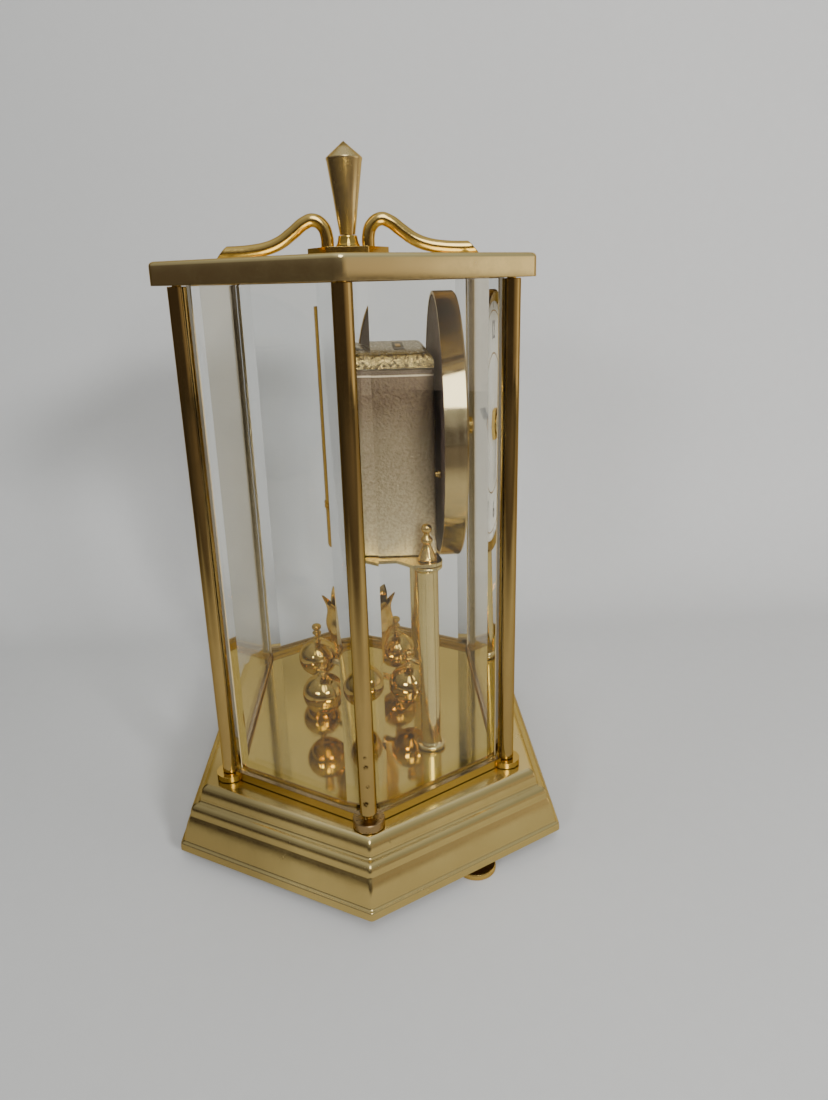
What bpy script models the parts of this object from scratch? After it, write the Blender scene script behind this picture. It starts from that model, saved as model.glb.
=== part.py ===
"""Anniversary clock: a torsion pendulum and dial on two columns, under a lift-off six-sided glass case.

+Z is up, the dial faces -Y, and the origin is the middle of the surface that the levelling feet stand on.
Every size is a named length in metres. Heights are stacked from the feet upwards in the section Stations.
"""

import math

import bmesh
import bpy
from mathutils import Matrix, Vector

# Clearances
SEAT_GAP = 0.0003
CUT_OVERRUN = 0.002
WELD_DISTANCE = 0.000002

# Base moulding, measured at its bottom edge; its width and length follow the case in the section Stations
LEDGE_WIDTH = 0.0086
BASE_CORNER_OUTSET = 0.01924
BASE_SIDE_ANGLE = math.radians(30)
BASE_HEIGHT = 0.0235
BASE_LEDGE_INSET = 0.0110
BASE_CORNER_RADIUS = 0.0030
BASE_WALL = 0.0012
FOOT_GAP = 0.0055
# (share of the ledge inset, share of the height) up the outside, from the bottom edge to the ledge
BASE_PROFILE_SHARES = (
    (0.00, 0.000), (0.02, 0.110), (0.09, 0.130), (0.13, 0.150), (0.15, 0.200), (0.19, 0.290), (0.25, 0.390),
    (0.33, 0.490), (0.395, 0.555), (0.42, 0.620), (0.48, 0.685), (0.575, 0.720), (0.72, 0.745), (0.75, 0.830),
    (0.80, 0.905), (0.87, 0.960), (1.00, 1.000),
)

# Floor and bottom plate
FLOOR_THICKNESS = 0.0010
BOTTOM_PLATE_THICKNESS = 0.0012
BOTTOM_PLATE_RECESS = 0.0007
FOOT_BOSS_RADIUS = 0.0033
FOOT_BOSS_HEIGHT = 0.0024

# Levelling feet
FOOT_RADIUS = 0.0073
FOOT_DISC_HEIGHT = 0.0026
FOOT_STUD_RADIUS = 0.0019
FOOT_STUD_HEIGHT = 0.0105
FOOT_EDGE_INSET = 0.0068
FRONT_FOOT_INSET = 0.0338
REAR_FOOT_INSET = 0.0156

# Glass case, measured on the line through the post centres; it is sized round the bezel and the hands
BEZEL_SIDE_ALLOWANCE = 0.0003
CASE_CORNER_REACH = 0.0335
HAND_GLASS_CLEARANCE = 0.0027
BEZEL_HEADROOM = 0.0039
CASE_CORNER_RADIUS = 0.0020
RAIL_CORNER_RADIUS = 0.0012
RING_HEIGHT = 0.0032
RING_OUTSIDE = 0.0009
RING_INSIDE = 0.0050
RING_GROOVE_DEPTH = 0.0018
LUG_RADIUS = 0.0054
LUG_HEIGHT = 0.0022

# Posts and the rods that pass through them
POST_RADIUS = 0.00295
NEAR_POST_SHORTER = 0.0026
ROD_RADIUS = 0.0016
POST_BORE_RADIUS = ROD_RADIUS + SEAT_GAP
ROD_HEAD_RADIUS = 0.0029
ROD_HEAD_HEIGHT = 0.0018

# Glass panels
GLASS_THICKNESS = 0.0032
GLASS_INSET = 0.0010
GLASS_BEVEL_WIDTH = 0.0064
GLASS_BEVEL_DEPTH = 0.0025

# Cap and upper frame
CAP_OUTSIDE = 0.0072
CAP_HEADROOM = 0.0007
CAP_EDGE_RADIUS = 0.0014
CAP_CORNER_RADIUS = 0.0036
CAP_WALL = 0.0010
CAP_FIELD_INSET = 0.0150
CAP_FIELD_SLOPE = 0.0030
CAP_FIELD_RISE = 0.0006
UPPER_FRAME_HEIGHT = 0.0032
UPPER_FRAME_OUTSIDE = 0.0045

# Hub, handles and finial
HUB_RADIUS = 0.0150
HUB_HEIGHT = 0.0039
HUB_SPIGOT_RADIUS = 0.0035
HUB_SPIGOT_LENGTH = 0.0030
COLLAR_BOTTOM_RADIUS = 0.0044
COLLAR_TOP_RADIUS = 0.0034
COLLAR_HEIGHT = 0.0038
COLLAR_PROFILE_SHARES = ((0.0, 1.00), (0.16, 1.00), (0.30, 0.60), (0.85, 0.15), (1.0, 0.0))
HANDLE_RADIUS = 0.00235
HANDLE_TIP_CLEARANCE = 0.0010
HANDLE_EDGE_INSET = 0.0130
HANDLE_RISE = 0.0104
HANDLE_FOOT_SHARE = 0.162
HANDLE_END_LEAN = math.radians(42)
# (share of the reach, share of the rise) along the centre line, from above the hub to the tip
HANDLE_SHARES = (
    (0.165, 0.48), (0.193, 0.81), (0.266, 1.00), (0.336, 0.91), (0.426, 0.62), (0.533, 0.30), (0.641, 0.12),
    (0.747, 0.04), (0.866, 0.00), (1.060, 0.00),
)
FINIAL_RADIUS = 0.0065
FINIAL_HEIGHT = 0.0309
FINIAL_STUD_RADIUS = 0.0015
FINIAL_STUD_LENGTH = 0.0070
# (share of the radius, share of the height) down the outside, from the tip
FINIAL_PROFILE_SHARES = (
    (0.00, 1.000), (0.94, 0.835), (1.00, 0.815), (0.97, 0.790), (0.70, 0.400), (0.56, 0.170), (0.46, 0.030),
    (0.44, 0.000),
)

# Columns, their nuts and the platform that they carry
COLUMN_NUT_CLEARANCE = 0.0010
COLUMN_BEZEL_CLEARANCE = 0.0004
COLUMN_RADIUS = 0.0039
COLUMN_HEIGHT = 0.0758
COLUMN_RING_RADIUS = 0.0056
COLUMN_RING_HEIGHT = 0.0030
COLUMN_STUD_RADIUS = 0.0015
COLUMN_TOP_STUD_LENGTH = 0.0062
COLUMN_FOOT_STUD_LENGTH = 0.0068
# (share of the ring's overhang, share of the ring's height) over one moulded ring
RING_PROFILE_SHARES = ((0.55, 0.0), (1.0, 0.18), (1.0, 0.52), (0.42, 0.72), (0.0, 1.0))
COLUMN_NUT_RADIUS = 0.0035
COLUMN_NUT_HEIGHT = 0.0134
# (share of the radius, share of the height) up the outside
COLUMN_NUT_SHARES = (
    (1.00, 0.00), (0.97, 0.07), (0.70, 0.22), (0.50, 0.36), (0.42, 0.44), (0.58, 0.52), (0.60, 0.60),
    (0.46, 0.68), (0.30, 0.73), (0.46, 0.80), (0.54, 0.87), (0.40, 0.95), (0.00, 1.00),
)
BASE_NUT_HALF_FLATS = 0.0030
BASE_NUT_HEIGHT = 0.0024
PLATFORM_THICKNESS = 0.0012
PLATFORM_END = 0.0040
PLATFORM_LUG_RADIUS = 0.0056

# Movement housing, its battery and battery cover
HOUSING_HALF_LENGTH = 0.0330
HOUSING_FRONT = -0.0276
HOUSING_REAR = -0.0005
HOUSING_HEIGHT = 0.0676
HOUSING_EDGE_RADIUS = 0.0014
BATTERY_RADIUS = 0.0070
BATTERY_LENGTH = 0.0500
BATTERY_TIP_RADIUS = 0.0026
BATTERY_TIP_LENGTH = 0.0010
BATTERY_CLEARANCE = 0.0007
COVER_HEIGHT = 0.0052
COVER_EDGE_RADIUS = 0.0030
COVER_LIP_DEPTH = 0.0012
COVER_LIP_WALL = 0.0006

# Dial, bezel and hands, stationed along -Y from the axis of the case
DIAL_HEIGHT_ABOVE_PLATFORM = 0.0424
BEZEL_RADIUS = 0.0507
BEZEL_WALL = 0.0012
BEZEL_LIP = 0.0042
BEZEL_LIP_THICKNESS = 0.0010
BEZEL_DEPTH = 0.0081
DIAL_THICKNESS = 0.0012
BUSH_RADIUS = 0.0040
BUSH_FLANGE_RADIUS = 0.0080
BUSH_FLANGE_THICKNESS = 0.0017
BUSH_PROTRUSION = 0.0008
DIAL_NUT_HALF_FLATS = 0.0058
DIAL_NUT_THICKNESS = 0.0018
HAND_THICKNESS = 0.0008
HAND_SPACING = 0.0010
HOUR_TUBE_RADIUS = 0.0026
HOUR_TUBE_LENGTH = 0.0075
HOUR_HAND_LENGTH = 0.0260
HOUR_HAND_HALF_WIDTH = 0.0032
MINUTE_ARBOR_RADIUS = 0.0014
MINUTE_HAND_LENGTH = 0.0395
MINUTE_HAND_HALF_WIDTH = 0.0026
HAND_BOSS_RADIUS = 0.0042
# (share of the length, share of the half width) along one edge of a hand, from the boss to the tip
HAND_EDGE_SHARES = ((0.0, 0.55), (0.25, 0.42), (0.55, 0.50), (0.70, 1.00), (0.80, 0.62), (1.0, 0.06))
MINUTE_HAND_ANGLE = math.radians(90)
HOUR_HAND_ANGLE = math.radians(187.5)
HAND_NUT_RADIUS = 0.0034
HAND_NUT_HEIGHT = 0.0019
HAND_NUT_CROWN = 0.0006

# Suspension
PENDULUM_AXIS_Y = 0.0026
GUARD_RADIUS = 0.0106
GUARD_WALL = 0.0008
GUARD_HEADROOM = 0.0084
GUARD_BOTTOM_BELOW_PLATFORM = 0.0032
GUARD_BAND_RISE = 0.0005
GUARD_BAND_HEIGHT = 0.0009
GUARD_BAND_SPACING = 0.0016
GUARD_BAND_LEVEL = 0.0157
BRACKET_HALF_WIDTH = 0.0040
BRACKET_THICKNESS = 0.0014
BRACKET_DROP = 0.0360
BRACKET_HEAD_HEIGHT = 0.0050
BRACKET_HEAD_REACH = 0.0054
BRACKET_HOLE_RADIUS = 0.0008
GUARD_ABOVE_BRACKET = 0.0026
SPRING_HALF_WIDTH = 0.0003
SPRING_HALF_THICKNESS = 0.00014

# Torsion pendulum
BALL_RADIUS = 0.0085
BALL_CIRCLE_RADIUS = 0.0240
BALL_FLOOR_CLEARANCE = 0.0068
BALL_FIRST_ANGLE = math.radians(52.5)
BALL_COUNT = 4
BALL_STEM_RADIUS = 0.0021
BALL_STEM_HEIGHT = 0.0078
# (share of the stem's radius, share of its height) up the outside of the stem
BALL_STEM_SHARES = (
    (1.05, 0.00), (0.62, 0.18), (0.56, 0.36), (0.86, 0.48), (1.00, 0.66), (0.80, 0.86), (0.00, 1.00),
)
ARM_RADIUS = 0.0014
ARM_HUB_RADIUS = 0.0080
ARM_HUB_HEIGHT = 0.0040
CROWN_RADIUS = 0.0136
CROWN_HEIGHT = 0.0330
CROWN_WALL = 0.0009
CROWN_PETALS = 8
CROWN_PETAL_HEIGHT = 0.0062
# (share of the radius, share of the height) up the outside of the cup
CROWN_PROFILE_SHARES = (
    (0.58, 0.0), (0.66, 0.06), (0.76, 0.30), (0.97, 0.56), (0.99, 0.66), (0.92, 0.78), (1.08, 1.0),
)
SPINDLE_RADIUS = 0.0013
SPINDLE_SHOULDER_RADIUS = 0.0034
SPINDLE_SHOULDER_HEIGHT = 0.0018
SPINDLE_NUT_RADIUS = 0.0036
SPINDLE_NUT_HEIGHT = 0.0030
SPINDLE_BLOCK_RADIUS = 0.0021
SPINDLE_BLOCK_HEIGHT = 0.0042
SPINDLE_BLOCK_BORE_RADIUS = 0.0006
SPINDLE_TOP_BELOW_GUARD = 0.0012
SPRING_ENGAGEMENT = 0.0020

# Facets round each kind of turned piece
LARGE_ROUND_STEPS = 48
ROUND_STEPS = 16
SMALL_ROUND_STEPS = 12
ROD_STEPS = 8
CORNER_STEPS = 2
BALL_STEPS = 14
SHARP_ANGLE = math.radians(32)

# Stations, stacked upwards from the surface under the feet
LEDGE_Z = FOOT_GAP + BASE_HEIGHT
FLOOR_Z = LEDGE_Z + SEAT_GAP + FLOOR_THICKNESS
RING_Z = LEDGE_Z + SEAT_GAP
LUG_TOP_Z = RING_Z + LUG_HEIGHT
POST_Z = LUG_TOP_Z + SEAT_GAP
COLUMN_Z = FLOOR_Z + SEAT_GAP
COLUMN_TOP_Z = COLUMN_Z + COLUMN_HEIGHT
PLATFORM_Z = COLUMN_TOP_Z + SEAT_GAP
PLATFORM_TOP_Z = PLATFORM_Z + PLATFORM_THICKNESS
HOUSING_Z = PLATFORM_TOP_Z + SEAT_GAP
HOUSING_TOP_Z = HOUSING_Z + HOUSING_HEIGHT
COVER_Z = HOUSING_TOP_Z + SEAT_GAP
DIAL_Z = PLATFORM_TOP_Z + DIAL_HEIGHT_ABOVE_PLATFORM
CAP_Z = DIAL_Z + BEZEL_RADIUS + BEZEL_HEADROOM
CAP_HEIGHT = UPPER_FRAME_HEIGHT + SEAT_GAP + ROD_HEAD_HEIGHT + CAP_HEADROOM + CAP_WALL
CAP_TOP_Z = CAP_Z + CAP_HEIGHT
CAP_FIELD_Z = CAP_TOP_Z + CAP_FIELD_RISE
HUB_Z = CAP_FIELD_Z + SEAT_GAP
HUB_TOP_Z = HUB_Z + HUB_HEIGHT
COLLAR_Z = HUB_TOP_Z + SEAT_GAP
FINIAL_Z = COLLAR_Z + COLLAR_HEIGHT + SEAT_GAP
GUARD_Z = PLATFORM_Z - GUARD_BOTTOM_BELOW_PLATFORM
GUARD_TOP_Z = CAP_Z - GUARD_HEADROOM
BRACKET_TOP_Z = GUARD_TOP_Z - GUARD_ABOVE_BRACKET
BALL_Z = FLOOR_Z + BALL_FLOOR_CLEARANCE + BALL_RADIUS
ARM_HUB_Z = BALL_Z - ARM_HUB_HEIGHT / 2
CROWN_Z = ARM_HUB_Z + ARM_HUB_HEIGHT + SEAT_GAP
SPINDLE_TOP_Z = GUARD_Z - SPINDLE_TOP_BELOW_GUARD

# Stations in front of the case's axis
BUSH_BACK = -HOUSING_FRONT + SEAT_GAP
BEZEL_BACK = BUSH_BACK + BUSH_FLANGE_THICKNESS
DIAL_BACK = BEZEL_BACK + SEAT_GAP
BEZEL_FRONT = BEZEL_BACK + BEZEL_DEPTH
DIAL_FRONT = BEZEL_FRONT - BEZEL_LIP_THICKNESS - SEAT_GAP
DIAL_NUT_BACK = DIAL_FRONT + SEAT_GAP
BUSH_FRONT = DIAL_NUT_BACK + DIAL_NUT_THICKNESS + BUSH_PROTRUSION
HOUR_HAND_BACK = BUSH_FRONT + HAND_SPACING
MINUTE_HAND_BACK = HOUR_HAND_BACK + HAND_THICKNESS + HAND_SPACING
MINUTE_HAND_FRONT = MINUTE_HAND_BACK + HAND_THICKNESS
HAND_NUT_BACK = MINUTE_HAND_FRONT + SEAT_GAP
HAND_NUT_FRONT = HAND_NUT_BACK + HAND_NUT_HEIGHT

# Bores that follow what turns in them
HOUR_TUBE_BORE_RADIUS = MINUTE_ARBOR_RADIUS + SEAT_GAP
BUSH_BORE_RADIUS = HOUR_TUBE_RADIUS + SEAT_GAP

# Columns beside the housing and behind the bezel
COLUMN_X = HOUSING_HALF_LENGTH + COLUMN_NUT_RADIUS + COLUMN_NUT_CLEARANCE
COLUMN_Y = -BEZEL_BACK + PLATFORM_LUG_RADIUS + COLUMN_BEZEL_CLEARANCE

# The case round the bezel and the hands, and the base under the case
CASE_HALF_SIDE = BEZEL_RADIUS + BEZEL_SIDE_ALLOWANCE
CASE_HALF_LENGTH = CASE_HALF_SIDE + CASE_CORNER_REACH
CASE_HALF_WIDTH = HAND_NUT_FRONT + HAND_GLASS_CLEARANCE + GLASS_THICKNESS + GLASS_INSET
BASE_HALF_WIDTH = CASE_HALF_WIDTH + LEDGE_WIDTH + BASE_LEDGE_INSET
BASE_HALF_LENGTH = CASE_HALF_LENGTH + BASE_CORNER_OUTSET
BASE_HALF_SIDE = BASE_HALF_LENGTH - BASE_HALF_WIDTH * math.tan(BASE_SIDE_ANGLE)
FRONT_FOOT_OFFSET = BASE_HALF_WIDTH - FRONT_FOOT_INSET
REAR_FOOT_OFFSET = BASE_HALF_WIDTH - REAR_FOOT_INSET
HANDLE_REACH = CASE_HALF_WIDTH + CAP_OUTSIDE - HANDLE_EDGE_INSET

BASE_HEXAGON = (BASE_HALF_LENGTH, BASE_HALF_SIDE, BASE_HALF_WIDTH)
CASE_HEXAGON = (CASE_HALF_LENGTH, CASE_HALF_SIDE, CASE_HALF_WIDTH)
PENDULUM_AXIS = Vector((0, PENDULUM_AXIS_Y, 0))

# Colours as they render, with the metallic value and the roughness of each finish
FINISHES = {
    "polished_brass": ((0.62, 0.49, 0.24, 1), 1.0, 0.16),
    "warm_brass": ((0.66, 0.46, 0.17, 1), 1.0, 0.18),
    "dark_brass": ((0.42, 0.31, 0.14, 1), 1.0, 0.26),
    "brushed_brass": ((0.60, 0.52, 0.32, 1), 1.0, 0.34),
    "steel": ((0.60, 0.60, 0.60, 1), 1.0, 0.30),
    "clear_glass": ((0.90, 0.95, 0.93, 0.25), 0.0, 0.03),
    "grained_gold": ((0.55, 0.48, 0.34, 1), 0.5, 0.45),
    "grey_enamel": ((0.50, 0.49, 0.45, 1), 0.1, 0.40),
    "dark_enamel": ((0.09, 0.08, 0.07, 1), 0.0, 0.45),
    "white_enamel": ((0.86, 0.85, 0.80, 1), 0.0, 0.35),
    "black_enamel": ((0.02, 0.02, 0.02, 1), 0.0, 0.30),
    "battery_wrap": ((0.12, 0.12, 0.13, 1), 0.2, 0.35),
}


def clear_scene():
    """Remove what the file starts with."""
    for thing in list(bpy.data.objects):
        bpy.data.objects.remove(thing, do_unlink=True)


def finish(name):
    """The Principled material of one finish, made once."""
    if name in bpy.data.materials:
        return bpy.data.materials[name]
    colour, metallic, roughness = FINISHES[name]
    material = bpy.data.materials.new(name)
    material.use_nodes = True
    shader = material.node_tree.nodes["Principled BSDF"]
    shader.inputs["Base Color"].default_value = colour
    shader.inputs["Metallic"].default_value = metallic
    shader.inputs["Roughness"].default_value = roughness
    shader.inputs["Alpha"].default_value = colour[3]
    material.diffuse_color = colour
    return material


def part_collection():
    """The collection that holds every piece of the clock."""
    if "anniversary_clock" not in bpy.data.collections:
        bpy.context.scene.collection.children.link(bpy.data.collections.new("anniversary_clock"))
    return bpy.data.collections["anniversary_clock"]


def add_object(name, data, look):
    """Link an object that wears one finish."""
    piece = bpy.data.objects.new(name, data)
    data.materials.append(finish(look))
    part_collection().objects.link(piece)
    return piece


def tidy_mesh(mesh):
    """Weld doubled points, turn every face outwards and shade round faces smooth."""
    work = bmesh.new()
    work.from_mesh(mesh)
    bmesh.ops.remove_doubles(work, verts=work.verts, dist=WELD_DISTANCE)
    bmesh.ops.recalc_face_normals(work, faces=work.faces)
    work.to_mesh(mesh)
    work.free()
    mesh.shade_smooth()
    mesh.set_sharp_from_angle(angle=SHARP_ANGLE)


def settle(piece):
    """Replace a curve, or an object's modifiers, by the mesh that they make."""
    bpy.context.view_layer.update()
    graph = bpy.context.evaluated_depsgraph_get()
    mesh = bpy.data.meshes.new_from_object(piece.evaluated_get(graph))
    tidy_mesh(mesh)
    name, matrix = piece.name, piece.matrix_world.copy()
    bpy.data.objects.remove(piece, do_unlink=True)
    mesh.name = name
    solid = bpy.data.objects.new(name, mesh)
    part_collection().objects.link(solid)
    solid.matrix_world = matrix
    return solid


def combine(piece, tools, operation, solver="EXACT"):
    """Cut the tools from a piece, or join them to it, and drop them."""
    for tool in tools:
        step = piece.modifiers.new(tool.name, "BOOLEAN")
        step.operation = operation
        step.solver = solver
        step.object = tool
    solid = settle(piece)
    for tool in tools:
        bpy.data.objects.remove(tool, do_unlink=True)
    return solid


def hexagon(shape, grow, corner_radius, steps=CORNER_STEPS):
    """Six-sided outline with corners on the X axis, moved outwards by grow, its corners rounded."""
    half_length, half_side, half_width = shape
    corners = [Vector(c) for c in (
        (half_length, 0), (half_side, half_width), (-half_side, half_width),
        (-half_length, 0), (-half_side, -half_width), (half_side, -half_width),
    )]
    normals = []
    for start, end in zip(corners, corners[1:] + corners[:1]):
        along = (end - start).normalized()
        normals.append(Vector((along.y, -along.x)))
    points = []
    for index, corner in enumerate(corners):
        before, after = normals[index - 1], normals[index]
        reach = (before + after) / (1 + before.dot(after))
        centre = corner + reach * (grow - corner_radius)
        first = math.atan2(before.y, before.x)
        turn = before.angle(after)
        for step in range(steps + 1):
            angle = first + turn * step / steps
            points.append(centre + corner_radius * Vector((math.cos(angle), math.sin(angle))))
    return points


def raised(outline, height):
    """The outline's points at one height."""
    return [Vector((point[0], point[1], height)) for point in outline]


def loft(name, rings, look, ring_shaped=False):
    """Skin a stack of outlines with equal numbers of points, capped at both ends or closed on itself."""
    work = bmesh.new()
    loops = [[work.verts.new(point) for point in ring] for ring in rings]
    pairs = list(zip(loops, loops[1:]))
    if ring_shaped:
        pairs.append((loops[-1], loops[0]))
    for low, high in pairs:
        for index in range(len(low)):
            work.faces.new((low[index - 1], low[index], high[index], high[index - 1]))
    if not ring_shaped:
        work.faces.new(loops[0])
        work.faces.new(loops[-1])
    mesh = bpy.data.meshes.new(name)
    work.to_mesh(mesh)
    work.free()
    tidy_mesh(mesh)
    return add_object(name, mesh, look)


def circle(radius, centre=(0, 0), steps=ROUND_STEPS, first=0.0, sweep=math.tau):
    """Points round a circle, or along an arc when sweep is less than a full turn."""
    count = steps if sweep == math.tau else steps + 1
    angles = [first + sweep * step / steps for step in range(count)]
    return [Vector((centre[0] + radius * math.cos(a), centre[1] + radius * math.sin(a))) for a in angles]


def plate(name, outlines, bottom, thickness, look):
    """A flat piece from closed outlines, the first its edge and the rest its holes."""
    curve = bpy.data.curves.new(name, "CURVE")
    curve.dimensions = "2D"
    curve.fill_mode = "BOTH"
    curve.extrude = thickness / 2
    for outline in outlines:
        spline = curve.splines.new("POLY")
        spline.points.add(len(outline) - 1)
        for target, point in zip(spline.points, outline):
            target.co = (point[0], point[1], 0, 1)
        spline.use_cyclic_u = True
    piece = add_object(name, curve, look)
    piece.location.z = bottom + thickness / 2
    return settle(piece)


def turned(name, profile, look, steps=ROUND_STEPS, loop=False, centre=(0, 0, 0), forward=False):
    """A turned piece from (radius, height) points; forward lays its axis along -Y through the dial centre."""
    mesh = bpy.data.meshes.new(name)
    count = len(profile)
    edges = [(index, index + 1) for index in range(count - 1)]
    if loop:
        edges.append((count - 1, 0))
    mesh.from_pydata([(radius, 0, height) for radius, height in profile], edges, [])
    piece = add_object(name, mesh, look)
    screw = piece.modifiers.new("turn", "SCREW")
    screw.steps = steps
    screw.render_steps = steps
    screw.use_merge_vertices = True
    screw.merge_threshold = WELD_DISTANCE
    screw.use_smooth_shade = True
    if forward:
        piece.location = (0, 0, DIAL_Z)
        piece.rotation_euler.x = math.pi / 2
    else:
        piece.location = centre
    return settle(piece)


def tube_profile(outer, inner, low, high):
    """Cross-section of a plain tube, down its outer side and up its bore."""
    return [(outer, high), (outer, low), (inner, low), (inner, high)]


def rod_profile(radius, low, high):
    """Half cross-section of a plain rod."""
    return [(0, high), (radius, high), (radius, low), (0, low)]


def peg(radius, low, high, centre, steps=SMALL_ROUND_STEPS, forward=False):
    """A plain round tool for cutting or joining."""
    place = (centre[0], centre[1], 0)
    return turned("tool", rod_profile(radius, low, high), "steel", steps, centre=place, forward=forward)


def block(name, low, high, look):
    """A rectangular block between two corners."""
    work = bmesh.new()
    size = [b - a for a, b in zip(low, high)]
    middle = [(a + b) / 2 for a, b in zip(low, high)]
    bmesh.ops.create_cube(work, size=1, matrix=Matrix.Translation(middle) @ Matrix.Diagonal((*size, 1)))
    mesh = bpy.data.meshes.new(name)
    work.to_mesh(mesh)
    work.free()
    return add_object(name, mesh, look)


def round_edges(piece, radius, segments, chosen):
    """Round the edges that chosen picks by their two end points."""
    work = bmesh.new()
    work.from_mesh(piece.data)
    edges = [edge for edge in work.edges if chosen(edge.verts[0].co, edge.verts[1].co)]
    bmesh.ops.bevel(work, geom=edges, offset=radius, segments=segments, profile=0.5, affect="EDGES")
    work.to_mesh(piece.data)
    work.free()
    tidy_mesh(piece.data)


def trim(piece, point, normal):
    """Cut a piece square across at a plane and close the cut."""
    work = bmesh.new()
    work.from_mesh(piece.data)
    everything = work.verts[:] + work.edges[:] + work.faces[:]
    cut = bmesh.ops.bisect_plane(work, geom=everything, plane_co=point, plane_no=normal, clear_outer=True)
    edges = [item for item in cut["geom_cut"] if isinstance(item, bmesh.types.BMEdge)]
    bmesh.ops.holes_fill(work, edges=edges, sides=len(edges))
    work.to_mesh(piece.data)
    work.free()
    tidy_mesh(piece.data)


def case_corners():
    """The six post centres, named by where they stand."""
    half_length, half_side, half_width = CASE_HEXAGON
    return {
        "left_corner": (-half_length, 0),
        "right_corner": (half_length, 0),
        "front_left": (-half_side, -half_width),
        "front_right": (half_side, -half_width),
        "rear_left": (-half_side, half_width),
        "rear_right": (half_side, half_width),
    }


def foot_places():
    """Where the three levelling feet stand, set in from the base's bottom edge."""
    edge_x = BASE_HEXAGON[0] - FRONT_FOOT_OFFSET * math.tan(BASE_SIDE_ANGLE)
    front_x = edge_x - FOOT_EDGE_INSET / math.cos(BASE_SIDE_ANGLE)
    return {
        "left": (-front_x, -FRONT_FOOT_OFFSET),
        "right": (front_x, -FRONT_FOOT_OFFSET),
        "rear": (0, REAR_FOOT_OFFSET),
    }


def column_places():
    """Where the two columns stand."""
    return {"left": (-COLUMN_X, COLUMN_Y), "right": (COLUMN_X, COLUMN_Y)}


def base_profile():
    """The moulding's outside as (grow, height) points, from the bottom edge to the ledge."""
    return [(-i * BASE_LEDGE_INSET, FOOT_GAP + h * BASE_HEIGHT) for i, h in BASE_PROFILE_SHARES]


def skirt_grow(height):
    """How far the inside of the moulding stands from the bottom edge's outline at one height."""
    sought = height + BASE_WALL
    for (low_grow, low), (high_grow, high) in zip(base_profile(), base_profile()[1:]):
        if low <= sought <= high:
            return low_grow + (high_grow - low_grow) * (sought - low) / (high - low) - BASE_WALL
    return -BASE_LEDGE_INSET - BASE_WALL


def add_base():
    """The stamped stepped moulding, open below, with a hole for each column's stud."""
    profile = base_profile()
    inner = [(-BASE_WALL, FOOT_GAP)]
    inner += [(grow - BASE_WALL, z - BASE_WALL) for grow, z in profile if z - BASE_WALL > FOOT_GAP]
    stack = list(reversed(inner)) + profile
    rings = [raised(hexagon(BASE_HEXAGON, grow, BASE_CORNER_RADIUS), z) for grow, z in stack]
    shell = loft("base_moulding", rings, "polished_brass")
    hole = COLUMN_STUD_RADIUS + SEAT_GAP
    low, high = LEDGE_Z - BASE_WALL - CUT_OVERRUN, LEDGE_Z + CUT_OVERRUN
    combine(shell, [peg(hole, low, high, place) for place in column_places().values()], "DIFFERENCE")


def add_bottom_plate():
    """The plate inside the skirt that holds the feet's threads."""
    bottom = FOOT_GAP + BOTTOM_PLATE_RECESS
    top = bottom + BOTTOM_PLATE_THICKNESS
    outline = hexagon(BASE_HEXAGON, skirt_grow(top) - SEAT_GAP, BASE_CORNER_RADIUS)
    piece = plate("bottom_plate", [outline], bottom, BOTTOM_PLATE_THICKNESS, "dark_enamel")
    places = foot_places().values()
    bosses = [peg(FOOT_BOSS_RADIUS, bottom, top + FOOT_BOSS_HEIGHT, place) for place in places]
    piece = combine(piece, bosses, "UNION")
    bore = FOOT_STUD_RADIUS + SEAT_GAP
    low, high = bottom - CUT_OVERRUN, top + FOOT_BOSS_HEIGHT + CUT_OVERRUN
    combine(piece, [peg(bore, low, high, place) for place in places], "DIFFERENCE")


def add_feet():
    """Three knurled discs on threaded studs."""
    edge = FOOT_DISC_HEIGHT / 6
    profile = [
        (0, FOOT_STUD_HEIGHT), (FOOT_STUD_RADIUS, FOOT_STUD_HEIGHT), (FOOT_STUD_RADIUS, FOOT_DISC_HEIGHT),
        (FOOT_RADIUS - edge, FOOT_DISC_HEIGHT), (FOOT_RADIUS, FOOT_DISC_HEIGHT - edge), (FOOT_RADIUS, edge),
        (FOOT_RADIUS - edge, 0), (0, 0),
    ]
    for side, place in foot_places().items():
        turned(f"levelling_foot_{side}", profile, "dark_brass", ROUND_STEPS, centre=(*place, 0))


def add_floor():
    """The polished plate that the columns stand on, loose inside the case's ring."""
    outline = hexagon(CASE_HEXAGON, -RING_INSIDE - SEAT_GAP, CASE_CORNER_RADIUS)
    hole = COLUMN_STUD_RADIUS + SEAT_GAP
    holes = [circle(hole, place, SMALL_ROUND_STEPS) for place in column_places().values()]
    plate("floor_plate", [outline] + holes, LEDGE_Z + SEAT_GAP, FLOOR_THICKNESS, "brushed_brass")


def rail_blank(name, low, high, outside, look):
    """A plain six-sided rail that follows the line of the posts."""
    section = [(outside, low), (outside, high), (-RING_INSIDE, high), (-RING_INSIDE, low)]
    rings = [raised(hexagon(CASE_HEXAGON, grow, RAIL_CORNER_RADIUS), z) for grow, z in section]
    return loft(name, rings, look, True)


def groove_tool(low, high):
    """The cutter for the slot that the six panels stand in."""
    outer = -GLASS_INSET + SEAT_GAP
    inner = -GLASS_INSET - GLASS_THICKNESS - SEAT_GAP
    section = [(outer, low), (outer, high), (inner, high), (inner, low)]
    rings = [raised(hexagon(CASE_HEXAGON, grow, RAIL_CORNER_RADIUS), z) for grow, z in section]
    return loft("tool", rings, "steel", True)


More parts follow.
